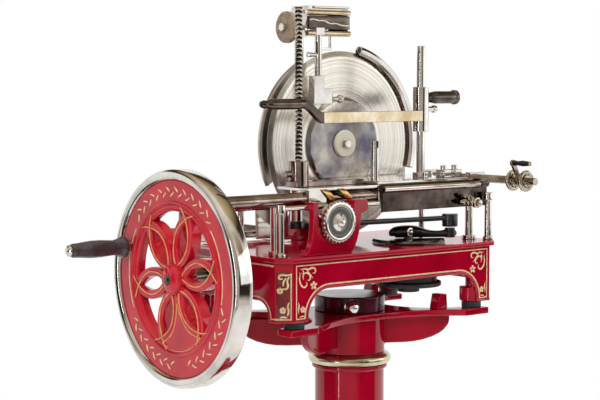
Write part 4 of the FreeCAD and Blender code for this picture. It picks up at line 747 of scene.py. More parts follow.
def ring_of(name: str, piece: bpy.types.Object, pivot: Point, axis: Axis,
            count: int) -> bpy.types.Object:
    """Repeat a piece evenly round an axis.

    Args:
        name: name of the whole.
        piece: the first one.
        pivot: point of the axis.
        axis: direction of the axis.
        count: how many there are.

    Returns:
        All of them in one mesh.
    """
    twins = [copied(piece, pivot, axis, 360.0 * i / count) for i in range(1, count)]
    return joined(name, [piece, *twins])


@dataclass(frozen=True)
class Wall:
    """A flat face that lines are painted on.

    Attributes:
        origin: the place from which the two measures are taken.
        across: direction of the first measure.
        up: direction of the second measure.
    """

    origin: Point
    across: Point
    up: Point = (0.0, 0.0, 1.0)

    def at(self, u: float, v: float) -> Point:
        """A place on the face, from its two measures in metres."""
        return tuple(Vector(self.origin) + u * Vector(self.across) + v * Vector(self.up))


# ----------------------------------------------------------- painted ornament

# Scroll for an upper corner, in millimetres from the corner of the stripe.
UPPER_SCROLL: tuple[Line, ...] = (
    ((2, -2), (9, -7), (18, -5), (27, -8), (35, -4), (43, -8), (41, -15), (34, -14), (35, -9)),
    ((3, -5), (9, -13), (6, -22), (9, -33), (17, -39), (24, -34), (21, -27), (16, -31)),
    ((5, -10), (14, -15), (22, -12), (30, -17), (31, -25), (24, -27), (22, -21)),
    ((13, -6), (17, -13), (13, -20), (17, -27)),
    ((22, -6), (25, -12), (33, -19), (38, -25)),
)
# Narrow scroll for the slanted corner of the base, in the same measure.
CHAMFER_SCROLL: tuple[Line, ...] = (
    ((1, -2), (8, -4), (15, -2), (22, -5), (20, -11), (14, -9)),
    ((3, -6), (8, -13), (4, -21), (9, -29), (14, -26)),
    ((8, -8), (15, -14), (13, -22)),
)
# Small curls for a lower corner, in the same measure.
LOWER_SCROLL: tuple[Line, ...] = (
    ((3, 30), (7, 23), (3, 15), (6, 7)),
    ((7, 3), (13, 6), (19, 3)),
)


@dataclass(frozen=True)
class Ornament:
    """Generic scrollwork for a corner of a stripe, with a small five petalled flower.

    Attributes:
        curves: the curls, in millimetres from the corner.
        flower: middle of the flower, in millimetres from the corner.
        reach: radius in millimetres of the flower.
        line: radius in metres of a curl.
        petal: radius in metres of a petal where it is widest.
    """

    curves: tuple[Line, ...]
    flower: tuple[float, float]
    reach: float = 7.0
    line: float = 1.8 * MM
    petal: float = 3.2 * MM

    def lay(self, name: str, wall: Wall, corner: tuple[float, float],
            mirror: bool) -> bpy.types.Object:
        """Paint the ornament on a wall.

        Args:
            name: name of the piece.
            wall: face that it lies on.
            corner: the stripe's corner on that face, in metres.
            mirror: lay it to the left of the corner.

        Returns:
            The ornament as one mesh.
        """
        side = -1.0 if mirror else 1.0
        lines = []
        for i, curve in enumerate(self.curves):
            points = [wall.at(corner[0] + side * u * MM, corner[1] + v * MM) for u, v in curve]
            taper = [0.45 + 0.75 * math.sin(math.pi * (k + 0.6) / len(points))
                     for k in range(len(points))]
            lines.append(stroke("%s_curl_%d" % (name, i), points, self.line, taper=taper,
                                smooth=True))
        for i in range(5):
            turn = math.radians(90 + 72 * i)
            points = []
            for share in (0.2, 0.55, 1.0):
                u = side * self.flower[0] + self.reach * share * math.cos(turn)
                v = self.flower[1] + self.reach * share * math.sin(turn)
                points.append(wall.at(corner[0] + u * MM, corner[1] + v * MM))
            lines.append(stroke("%s_petal_%d" % (name, i), points, self.petal,
                                taper=(0.5, 1.0, 0.8), smooth=True))
        return joined(name, lines)


UPPER_ORNAMENT = Ornament(UPPER_SCROLL, (38.0, -36.0))
LOWER_ORNAMENT = Ornament(LOWER_SCROLL, (14.0, 16.0), reach=5.5)
CHAMFER_ORNAMENT = Ornament(CHAMFER_SCROLL, (19.0, -30.0), reach=5.5)


# ------------------------------------------------------------- sub-assemblies

@dataclass
class Assembly:
    """A sub-assembly: its pieces are built, dressed and reported.

    Attributes:
        pieces: what has been built so far.
    """

    pieces: list[bpy.types.Object] = field(default_factory=list)

    def keep(self, piece: bpy.types.Object, body: str, finish: Finish,
             slot: str) -> bpy.types.Object:
        """Dress a new piece and let it ride on a body.

        Args:
            piece: finished mesh.
            body: body of the frame that it moves with.
            finish: its finish.
            slot: the record's material slot that it belongs to; not used.

        Returns:
            The same piece.
        """
        dress(piece, finish)
        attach(piece, body)
        self.pieces.append(piece)
        return piece

    def soften(self, finishes: dict[str, tuple[float, Finish]]) -> None:
        """Round and dress frame nodes.

        Args:
            finishes: width of the rounding in metres and the finish, by node.
        """
        for node, (width, finish) in finishes.items():
            piece = softened(node, width)
            self.pieces.append(piece)
            dress(piece, finish)

    def report(self) -> None:
        """Log each piece with its number of faces."""
        for piece in self.pieces:
            LOG.info("%s: %s, %d faces", type(self).__name__, piece.name,
                     len(piece.data.polygons))


@dataclass
class Pedestal(Assembly):
    """Round foot, column, neck with its plate, and what stands on the plate.

    Attributes:
        edge: rounding of the castings' edges.
        swell: how far the bead stands out of its groove.
    """

    edge: float = 1.2 * MM
    swell: float = 13 * MM

    def build(self) -> None:
        """Finish the castings."""
        self.soften({
            "stand_foot": (self.edge, CRIMSON), "stand_column": (self.edge, CRIMSON),
            "stand_plate": (self.edge * 2, CRIMSON),
            "stand_turret": (self.edge * 2, MAROON), "anchor_lugs": (self.edge, CRIMSON),
            "lock_knob": (0.0, CHROME)})
        self.turn_bead()

    def turn_bead(self) -> None:
        """Half-round bead ring, turned as one closed section."""
        low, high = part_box("stand_bead_ring")
        middle = (low + high) / 2
        half = (high.z - low.z) / 2
        core = (high.x - low.x) / 2 - self.swell
        bulge = [(core + self.swell * math.sin(math.pi * k / 20),
                  half * math.cos(math.pi * k / 20)) for k in range(21)]
        bore = core - 1 * MM
        outline = [(bore, half), *bulge, (bore, -half), (bore, half)]
        bead = turned("stand_bead_turned", outline, tuple(middle), Axis.UP, 96)
        self.keep(bead, "stand", PALE_NICKEL, "nickel")
        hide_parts("stand_bead_ring")


@dataclass
class Base(Assembly):
    """Cast base with its striping and scrolls, rubber feet and gear case.

    Attributes:
        edge: rounding of the castings' edges.
        half_length: from the middle to the left wall.
        half_width: from the middle to the front wall.
        corner: how far the slanted corner cuts back each wall.
        lip: thickness of the deck's lip above the walls.
        inset: distance of a stripe from the wall's edge.
        sunk: how deep a stripe's middle lies in the wall.
        line: radius of a stripe.
        bead: radius of the cast bead over the front arch.
        bead_rise: distance of the bead's middle from the arch's edge.
        frame: distance of the slanted corner's stripe from its right edge.
        frame_top: distance of that stripe's end from the top stripe.
        scroll_lift: how far the slanted corner's scrolls lie in front of its stripe.
        front_arch: half width, height and corner radius of the front arch.
        side_arch: the same of the left wall's arch.
        bottom: height of the lowest stripe.
        top: height of the highest stripe.
    """

    edge: float = 1.6 * MM
    half_length: float = 261 * MM
    half_width: float = 144 * MM
    corner: float = 23 * MM
    lip: float = 8 * MM
    inset: float = 7 * MM
    sunk: float = 1.4 * MM
    line: float = 2.0 * MM
    bead: float = 3.2 * MM
    bead_rise: float = 2.6 * MM
    frame: float = 4 * MM
    frame_top: float = 12 * MM
    scroll_lift: float = 1.6 * MM
    front_arch: tuple[float, float, float] = (205 * MM, 56 * MM, 48 * MM)
    side_arch: tuple[float, float, float] = (104 * MM, 35 * MM, 30 * MM)
    bottom: float = field(init=False, default=0.0)
    top: float = field(init=False, default=0.0)

    def build(self) -> None:
        """Finish the castings and lay the stripes."""
        self.soften({
            "base_frame": (self.edge, CRIMSON), "rubber_feet": (self.edge, RUBBER),
            "gear_case": (self.edge, IRON), "gear_case_cover": (self.edge, IRON)})
        low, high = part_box("base_frame")
        self.bottom = low.z + self.inset
        self.top = high.z - self.lip - self.inset
        front = Wall((0.0, self.sunk - self.half_width, 0.0), (1.0, 0.0, 0.0))
        left = Wall((self.sunk - self.half_length, 0.0, 0.0), (0.0, -1.0, 0.0))
        slant = math.sqrt(0.5)
        chamfer = Wall((self.sunk * slant - self.half_length,
                        self.corner - self.half_width + self.sunk * slant, 0.0),
                       (slant, -slant, 0.0))
        self.stripe_front(front)
        self.stripe_side(left, chamfer)
        self.bead_arch(front)
        self.panel(chamfer)
        lift = Vector((-slant, -slant, 0.0)) * self.scroll_lift
        self.lay_scrolls(front, Wall(tuple(Vector(chamfer.origin) + lift), chamfer.across))

    def arch_line(self, sizes: tuple[float, float, float],
                  grow: float) -> list[tuple[float, float]]:
        """Line over an arch from its left foot to its right one.

        Args:
            sizes: half width, height and corner radius of the arch.
            grow: distance of the line outside the arch.

        Returns:
            Places along the wall and above the floor.
        """
        half, height, radius = (size + grow for size in sizes)
        crown = self.bottom - self.inset + height
        return (arc((radius - half, crown - radius), radius, 180, 90)
                + arc((half - radius, crown - radius), radius, 90, 0))

    def stripe_front(self, wall: Wall) -> None:
        """Lay one closed stripe that follows the front of the base, its legs and its arch.

        Args:
            wall: the front.
        """
        right = self.half_length - self.corner - self.inset
        half = self.front_arch[0] + self.inset
        plan = [(-right, self.top), (-right, self.bottom), (-half, self.bottom)]
        plan += self.arch_line(self.front_arch, self.inset)
        plan += [(half, self.bottom), (right, self.bottom), (right, self.top)]
        self.keep(stroke("front_stripe", [wall.at(u, v) for u, v in plan], self.line,
                         closed=True), "stand", GILT, "cream_enamel")

    def stripe_side(self, left: Wall, chamfer: Wall) -> None:
        """Lay a stripe over the left wall, and one round its arch that ends on the chamfer.

        Args:
            left: the left wall.
            chamfer: the slanted corner beside it.
        """
        reach = self.half_width - self.corner
        across = self.corner * math.sqrt(2) - self.frame
        over = [left.at(-reach, self.top), left.at(reach - self.line, self.top)]
        self.keep(stroke("side_top_stripe", over, self.line), "stand", GILT, "cream_enamel")
        half = self.side_arch[0] + self.inset
        plan = [left.at(u, v) for u, v in self.arch_line(self.side_arch, self.inset)]
        plan = [left.at(-reach, self.bottom), left.at(-half, self.bottom), *plan,
                left.at(half, self.bottom), left.at(reach, self.bottom)]
        plan += [chamfer.at(across, self.bottom), chamfer.at(across, self.top - self.frame_top)]
        self.keep(stroke("side_arch_stripe", plan, self.line), "stand", GILT, "cream_enamel")

    def panel(self, chamfer: Wall) -> None:
        """Lay a dark painted panel on the slanted corner, framed by the stripe.

        Args:
            chamfer: the slanted corner.
        """
        gap, thick = 3 * MM, 0.4 * MM
        lift = Vector((-1.0, -1.0, 0.0)).normalized() * (self.sunk + thick)
        low = Vector(chamfer.at(gap, self.bottom + gap)) + lift
        high = Vector(chamfer.at(gap, self.top - self.frame_top + gap)) + lift
        across = Vector(chamfer.across) * (self.corner * math.sqrt(2) - 2 * self.frame)
        self.keep(strip("corner_panel", [tuple(low), tuple(high)], tuple(across), thick),
                  "stand", DARKER_CORNER_RED, "red_enamel")

    def bead_arch(self, wall: Wall) -> None:
        """Lay a cast bead along the lower edge of the front, over its arch.

        Args:
            wall: the front.
        """
        low = self.bottom - self.inset + self.bead_rise
        right = self.half_length - self.corner
        foot = self.front_arch[0] + self.bead_rise
        plan = [(-right, low), (-foot, low), *self.arch_line(self.front_arch, self.bead_rise),
                (foot, low), (right, low)]
        self.keep(stroke("front_arch_bead", [wall.at(u, v) for u, v in plan], self.bead),
                  "stand", CRIMSON, "red_enamel")

    def lay_scrolls(self, front: Wall, chamfer: Wall) -> None:
        """Lay scrolls in the corners of the front stripe and on the chamfer beside it.

        Args:
            front: the front.
            chamfer: the slanted corner, lifted so that they lie on its panel.
        """
        right = self.half_length - self.corner - self.inset
        across = self.corner * math.sqrt(2) - self.frame
        places = [("front_scroll_left", UPPER_ORNAMENT, front, (-right, self.top), False),
                  ("front_scroll_right", UPPER_ORNAMENT, front, (right, self.top), True),
                  ("front_curls_left", LOWER_ORNAMENT, front, (-right, self.bottom), False),
                  ("front_curls_right", LOWER_ORNAMENT, front, (right, self.bottom), True),
                  ("corner_curls", LOWER_ORNAMENT, chamfer, (across, self.bottom), True),
                  ("corner_scroll", CHAMFER_ORNAMENT, chamfer,
                   (across, self.top - self.frame_top), True)]
        for name, ornament, wall, corner, mirror in places:
            self.keep(ornament.lay(name, wall, corner, mirror), "stand", GILT, "cream_enamel")


@dataclass
class Flywheel(Assembly):
    """Openwork flywheel with its bright rim, rounded petals, striping and hand grip.

    Attributes:
        edge: rounding of the disc's edges.
        petals: how many petals the disc has.
        phase: direction of the first petal in degrees, from the right upwards.
        petal_half: half width of a petal.
        petal_start: distance of a petal's foot from the hub.
        petal_end: distance of its tip from the hub.
        rib: radius of the ribs round a petal.
        rim_bore: inner radius of the rim.
        rim_width: width of the rim along the shaft.
        recess: how far the disc's face lies behind the rim's.
        ridges: radius, bar and height of the smooth rings on the disc's band.
        stripe: radius of a fine stripe.
        band: radius at which the leaves run round the band.
        band_line: radius of the line inside them.
    """

    edge: float = 1.5 * MM
    petals: int = 6
    phase: float = 11.0
    petal_half: float = 20 * MM
    petal_start: float = 26 * MM
    petal_end: float = 118 * MM
    rib: float = 7 * MM
    rim_bore: float = 171 * MM
    rim_width: float = 33 * MM
    recess: float = 5 * MM
    ridges: tuple[Point, ...] = ((124 * MM, 7 * MM, -5.6 * MM), (132 * MM, 4.5 * MM, -1.2 * MM))
    stripe: float = 1.15 * MM
    band: float = 151 * MM
    band_line: float = 142 * MM

    def build(self) -> None:
        """Finish the wheel."""
        # The wheel's enamel is drawn lighter than the pedestal's, as painted light.
        self.soften({
            "flywheel_disc": (self.edge, WHEEL_RED_PAINTED_LIGHT),
            "flywheel_shaft": (0.0, STEEL_DARK), "grip_spindle": (0.5 * MM, CHROME),
            "crank_grip": (0.8 * MM, EBONITE)})
        low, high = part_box("flywheel_rim")
        centre = (low + high) / 2
        face = Wall((low.x + self.recess, 0.0, centre.z), (0.0, -1.0, 0.0))
        self.turn_rim(low, centre)
        self.round_petals(face)
        self.round_openings(face)
        self.stripe_petals(face)
        self.stripe_fan(face)
        self.dress_band(face)
        self.cap_hub(low.x, centre.z)

    def turn_rim(self, low: Vector, centre: Vector) -> None:
        """Turn the polished rim with its rounded face and flat tread.

        Args:
            low: low corner of the rim's box.
            centre: middle of the rim's box.
        """
        bore, back = self.rim_bore, self.rim_width
        bulge = 9.5 * MM
        tread = bore + 2 * bulge
        rim = turned("flywheel_rim_turned", [
            (bore, back), (bore, bulge), *arc((bore + bulge, 8 * MM), bulge, 185, 355, 16),
            (tread, back - 3.4 * MM), (tread - 1 * MM, back - 1 * MM), (tread - 3 * MM, back),
            (bore, back)], (low.x, centre.y, centre.z), Axis.RIGHT, 180)
        self.keep(rim, "flywheel", CHROME, "chrome")
        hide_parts("flywheel_rim")

    def turned_place(self, face: Wall, angle: float, out: float, aside: float,
                     proud: float = 0.0) -> Point:
        """Find a place on the wheel from a direction, a distance out and one aside.

        Args:
            face: the wheel's face.
            angle: direction from the hub in degrees, from the right upwards.
            out: distance from the hub along it.
            aside: distance to its left.
            proud: distance in front of the face.

        Returns:
            The place in metres.
        """
        turn = math.radians(angle)
        u = out * math.cos(turn) - aside * math.sin(turn)
        v = out * math.sin(turn) + aside * math.cos(turn)
        x, y, z = face.at(u, v)
        return (x - proud, y, z)

    def round_petals(self, face: Wall) -> None:
        """Lay two rounded ribs for each petal, which meet at its tip.

        Args:
            face: the wheel's face.
        """
        ribs = []
        for i in range(self.petals):
            for side in (-1.0, 1.0):
                points = []
                for k in range(11):
                    share = k / 10
                    out = self.petal_start + (self.petal_end - self.petal_start) * share
                    aside = side * self.petal_half * math.sin(math.pi * share) ** 0.85
                    points.append(self.turned_place(face, self.phase + 60.0 * i, out, aside,
                                                    1.6 * MM - self.rib))
                ribs.append(stroke("petal_rib_%d" % len(ribs), points, self.rib, smooth=True))
        self.keep(joined("flywheel_petal_ribs", ribs), "flywheel", WHEEL_RED_PAINTED_LIGHT, "red_enamel")

    def round_openings(self, face: Wall) -> None:
        """Lay the rounded inner edge of the band, and the smooth ridge outside it.

        Args:
            face: the wheel's face.
        """
        rings = [stroke("band_edge", [
            self.turned_place(face, 6.0 * k, radius, 0.0, proud) for k in range(60)],
            bar, closed=True) for radius, bar, proud in self.ridges]
        self.keep(joined("flywheel_band_edge", rings), "flywheel", WHEEL_RED_PAINTED_LIGHT, "red_enamel")

    def stripe_petals(self, face: Wall) -> None:
        """Lay two fine lines on each petal, which cross at its tip and curl onto the band.

        Args:
            face: the wheel's face.
        """
        plan = ((27, 3), (36, 11), (52, 18), (72, 21), (92, 15), (110, 2), (119, -8), (126, -19))
        lines = []
        for i in range(self.petals):
            for side in (-1.0, 1.0):
                points = [self.turned_place(face, self.phase + 60.0 * i, out * MM,
                                            side * aside * MM, 1.5 * MM)
                          for out, aside in plan]
                lines.append(stroke("petal_stripe_%d" % len(lines), points, self.stripe,
                                    smooth=True))
        self.keep(joined("flywheel_petal_stripes", lines), "flywheel", AMBER, "cream_enamel")

    def stripe_fan(self, face: Wall) -> None:
        """Lay a curved triangle on the counterweight, below the hub.

        Args:
            face: the wheel's face.
        """
        down = self.phase - 90.0
        right = ((42, 0), (56, 4), (70, 9), (88, 20), (100, 36), (106, 58))
        foot = ((115, 46), (122, 28), (125, 9), (125, -9), (122, -28), (115, -46))
        left = tuple((out, -aside) for out, aside in reversed(right))
        lines = []
        for plan in (right, (right[-1], *foot, left[0]), left):
            points = [self.turned_place(face, down, out * MM, aside * MM, 0.2 * MM)
                      for out, aside in plan]
            lines.append(stroke("fan_stripe_%d" % len(lines), points, self.stripe, smooth=True))
        self.keep(joined("flywheel_fan_stripe", lines), "flywheel", AMBER, "cream_enamel")

    def dress_band(self, face: Wall) -> None:
        """Lay running leaves in pale gold on the band, over it and on both sides below it.

        Args:
            face: the wheel's face.
        """
        leaves = []
        for start, end in ((138.0, 46.0), (215.0, 268.0), (288.0, 344.0)):
            count = round(abs(end - start) / 4.6)
            for k in range(count + 1):
                angle = start + (end - start) * k / count
                side = 1.0 if k % 2 else -1.0
                points = [self.turned_place(face, angle, self.band + side * rise * MM,
                                            along * MM, 0.1 * MM)
                          for along, rise in ((-5.5, 0.5), (-1.0, 5.0), (5.0, 8.5))]
                leaves.append(stroke("band_leaf", points, 2.3 * MM, taper=(0.35, 1.0, 0.3),
                                     smooth=True))
        for start, end in ((40.0, -12.0), (146.0, 206.0)):
            points = [self.turned_place(face, start + (end - start) * k / 12, self.band_line,
                                        0.0, 0.1 * MM) for k in range(13)]
            leaves.append(stroke("band_line", points, 1.0 * MM, smooth=True))
        self.keep(joined("flywheel_band_leaves", leaves), "flywheel", GILT, "cream_enamel")

    def cap_hub(self, x: float, z: float) -> None:
        """Turn a smooth red boss over the hub with the dark bolt in it.

        Args:
            x: front of the rim.
            z: height of the shaft.
        """
        front = x - 2 * MM
        cap = turned("flywheel_hub_cap", [
            (0.0, 7 * MM), (10 * MM, 7 * MM), (11 * MM, 7.6 * MM), (20 * MM, 5.4 * MM),
            (24.5 * MM, 2 * MM), (26 * MM, -3 * MM), (26 * MM, -8 * MM), (0.0, -8 * MM)],
            (front, 0.0, z), Axis.LEFT, 56)
        self.keep(cap, "flywheel", WHEEL_RED_PAINTED_LIGHT, "red_enamel")
        bolt = turned("flywheel_hub_bolt", [
            (0.0, 9.6 * MM), (4 * MM, 9.6 * MM), (6 * MM, 8.6 * MM), (9.5 * MM, 8.4 * MM),
            (10.5 * MM, 7 * MM), (10.5 * MM, 2 * MM), (0.0, 2 * MM)], (front, 0.0, z),
            Axis.LEFT, 6)
        self.keep(bolt, "flywheel", STEEL_DARK, "dark_iron")
        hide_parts("flywheel_bolt")


@dataclass
class SliderCrank(Assembly):
    """Crank disc, arm and connecting rod above the deck.

    Attributes:
        lean: how far the arm is turned to the front, in degrees.
        reach: distance of the crank pin from the shaft.
        tail: how far the arm goes on behind the shaft.
    """

    lean: float = 30.0
    reach: float = 80 * MM
    tail: float = 34 * MM

    def build(self) -> None:
        """Finish the forgings."""
        self.soften({
            "crank_shaft": (0.6 * MM, STEEL_DARK), "crank_disc": (0.8 * MM, STEEL_DARK),
            "connecting_rod": (2 * MM, BLACK)})
        self.forge_arm()

    def forge_arm(self) -> None:
        """Make the crank arm: a thick tail, a slim neck and the boss of the crank pin."""
        low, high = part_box("crank_shaft")
        hub = Vector(((low.x + high.x) / 2, (low.y + high.y) / 2, 0.0))
        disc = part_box("crank_disc")[1].z
        turn = math.radians(-self.lean)
        course = Vector((math.cos(turn), math.sin(turn), 0.0))
        stations = ((-self.tail, 3), (-self.tail + 1 * MM, 7), (-self.tail + 6 * MM, 10.2),
                    (-16 * MM, 11.6), (6 * MM, 11.8), (20 * MM, 10.6), (34 * MM, 7.4),
                    (50 * MM, 6.2), (66 * MM, 6.4), (self.reach - 2 * MM, 8.6),
                    (self.reach + 7 * MM, 8.6), (self.reach + 11 * MM, 4))
        points = [tuple(hub + course * along + Vector((0, 0, disc + (1.0 + wide) * MM * 0.96)))
                  for along, wide in stations]
        arm = stroke("crank_arm_forging", points, 1.0 * MM,
                     taper=[wide for _, wide in stations], smooth=True)
        pin = hub + course * self.reach
        boss = turned("crank_pin_boss", [
            (0.0, 0.3 * MM), (9.6 * MM, 0.3 * MM), (10.6 * MM, 1.5 * MM), (10.6 * MM, 11 * MM),
            (9.8 * MM, 12 * MM), (9.8 * MM, 18.4 * MM), (9.4 * MM, 18.8 * MM), (0.0, 18.8 * MM)],
            (pin.x, pin.y, disc), Axis.UP, 32)
        whole = joined("crank_arm_forging", [arm, boss])
        self.keep(whole, "crank", BLACK, "black_steel")
        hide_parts("crank_arm")
        front = course.cross(Vector((0, 0, 1)))
        spot = hub + front * 9 * MM + Vector((0, 0, disc + 12 * MM))
        bolt = turned("crank_arm_bolt", [
            (0.0, 7 * MM), (3.2 * MM, 6.6 * MM), (5.6 * MM, 4.6 * MM), (6 * MM, 3.4 * MM),
            (8 * MM, 3 * MM), (8 * MM, 0.0), (0.0, 0.0)], tuple(spot), Axis.FRONT, 24)
        self.keep(bolt, "crank", CHROME, "chrome")


@dataclass
class Rails(Assembly):
    """Front and rear rails, their posts, the corner posts and the guide rod."""

    def build(self) -> None:
        """Finish the bars."""
        self.soften({
            "carriage_rail": (1.2 * MM, BUFFED), "rail_supports": (0.8 * MM, CHROME),
            "rear_rail": (0.8 * MM, CHROME), "corner_posts": (1.2 * MM, CHROME),
            "front_guide_rod": (0.6 * MM, CHROME)})


@dataclass
class ThicknessDial(Assembly):
    """Red yoke with the scalloped dial and its dome nut.

    Attributes:
        arms: outline of the yoke's front, in millimetres from the dial's axis and the deck,
            from the left foot over both arms, without the bowl between them.
        bowl: radius of the yoke's bowl.
        web: half height of the bar behind the dial.
        proud: how far the dial stands in front of its node.
        radius: radius of the dial between its lobes.
        lobes: how many lobes it has.
        lobe: radius of a lobe.
        depth: depth of the dial.
    """

    arms: tuple[Line, Line] = (
        ((38, 57), (40, 70), (43, 86), (45, 93), (73, 93), (76, 90), (76, 76), (73, 72),
         (61, 70), (59, 56), (56, 38), (51, 22), (45, 9), (38, 0)),
        ((-66, 0), (-65, 5), (-60, 9), (-55, 18), (-52, 30), (-50, 48), (-50, 93), (-38, 93),
         (-39, 72), (-38, 57)))
    bowl: float = 38 * MM
    web: float = 11 * MM
    proud: float = 4 * MM
    radius: float = 35 * MM
    lobes: int = 28
    lobe: float = 2.6 * MM
    depth: float = 20 * MM

    def build(self) -> None:
        """Finish the yoke and the dial."""
        self.soften({"dial_dome_nut": (0.0, CHROME)})
        low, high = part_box("thickness_dial")
        middle = (low + high) / 2
        self.cast_yoke(middle)
        self.turn_dial((middle.x, low.y - self.proud, middle.z))

    def cast_yoke(self, middle: Vector) -> None:
        """Cast the yoke: a plate with a bowl for the dial, thicker at its foot and its lugs.

        Args:
            middle: middle of the dial.
        """
        low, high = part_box("dial_yoke")
        rise = middle.z - low.z
        bowl = arc((0.0, rise), self.bowl, 180, 360, 18)[1:-1]
        right, left = ([(u * MM, v * MM) for u, v in part] for part in self.arms)
        front = left + bowl + right
        foot = [(-64 * MM, 0.5 * MM), (37 * MM, 0.5 * MM), (44 * MM, 9 * MM), (-59 * MM, 9 * MM)]
        half = (high.y - low.y) / 2
        inner = low + Vector((0.0, 2 * MM, 0.0))
        pieces = [self.plate("yoke_plate", front, middle.x, low, half + 1 * MM),
                  self.plate("yoke_foot", foot, middle.x, inner, 2 * half - 2 * MM)]
        for x, wide in ((-49.5, 11), (45.5, 30)):
            lug = [(x * MM, 77 * MM), ((x + wide) * MM, 77 * MM), ((x + wide) * MM, 92.5 * MM),
                   (x * MM, 92.5 * MM)]
            pieces.append(self.plate("yoke_lug", lug, middle.x, inner, 2 * half - 2 * MM))
        bar = [(-self.bowl, rise - self.web), (self.bowl, rise - self.web),
               (self.bowl, rise + self.web), (-self.bowl, rise + self.web)]
        back = low + Vector((0.0, half - 5 * MM, 0.0))
        pieces.append(self.plate("yoke_web", bar, middle.x, back, 5 * MM))
        whole = joined("dial_yoke_cast", pieces)
        self.keep(whole, "stand", CRIMSON, "red_enamel")
        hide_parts("dial_yoke")

    def plate(self, name: str, outline: Line, x: float, low: Vector,
              depth: float) -> bpy.types.Object:
        """Pull an outline straight back into a plate with rounded edges.

        Args:
            name: name of the piece.
            outline: places from the dial's axis and the deck, in metres.
            x: the dial's axis.
            low: the front and the foot of the plate.
            depth: thickness of the plate.

        Returns:
            The plate.
        """
        piece = edge_line(name, [(x + u, low.y, low.z + v) for u, v in outline])
        edit_all(piece)
        bpy.ops.mesh.edge_face_add()
        bpy.ops.mesh.extrude_region_move(TRANSFORM_OT_translate={"value": (0.0, depth, 0.0)})
        settle(piece)
        apply_modifier(piece, "BEVEL", width=1.4 * MM, segments=3, limit_method="ANGLE",
                       angle_limit=CORNER_EDGE)
        return settle(piece, 40.0)

    def turn_dial(self, start: Point) -> None:
        """Turn the scalloped dial: a deep lobed body, a spun dark face and a bright flare.

        Args:
            start: middle of the dial's front.
        """
        back = self.depth
        body = turned("dial_body", [
            (0.0, 3 * MM), (27 * MM, 3 * MM), (28 * MM, 0.8 * MM), (31 * MM, 0.0),
            (self.radius - 0.8 * MM, 0.8 * MM), (self.radius, 2.5 * MM),
            (self.radius, back - 7 * MM), (self.radius - 1 * MM, back), (6 * MM, back),
            (6 * MM, back + 5.5 * MM), (0.0, back + 5.5 * MM)], start, Axis.BACK, 72)
        lobe = stroke("dial_lobe", [
            (start[0] + self.radius, start[1] + along, start[2])
            for along in (0.8 * MM, 2 * MM, 5 * MM, 10 * MM, 13 * MM)],
            self.lobe, taper=(0.5, 0.9, 1.0, 0.9, 0.3), smooth=True)
        lobes = ring_of("dial_lobes", lobe, start, Axis.BACK, self.lobes)
        whole = joined("dial_scalloped", [body, lobes])
        self.keep(whole, "dial", CHROME, "chrome")
        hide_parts("thickness_dial")
        # Spun steel face: dark rings from the lathe tool (drawn coarser), half polished.
        spun = GroundFinish("spun_dial_face", ("#3E4140", "#6D6F6B", "#A9A8A0"), 1.0,
                            (0.14, 0.26), 16 * MM, 8 * MM, 0.05 * MM, centre=start,
                            ring=3.6 * MM)
        face = turned("dial_face", [(10 * MM, 2.4 * MM), (26 * MM, 2.2 * MM),
                                    (27.4 * MM, 3.4 * MM), (10 * MM, 3.4 * MM)],
                      start, Axis.BACK, 72)
        self.keep(face, "dial", spun, "dark_iron")
        flare = turned("dial_flare", [(0.0, -2 * MM), (10 * MM, -2 * MM), (12.5 * MM, 0.5 * MM),
                                      (15.5 * MM, 2.6 * MM), (0.0, 2.6 * MM)],
                       start, Axis.BACK, 48)
        self.keep(flare, "dial", CHROME, "chrome")


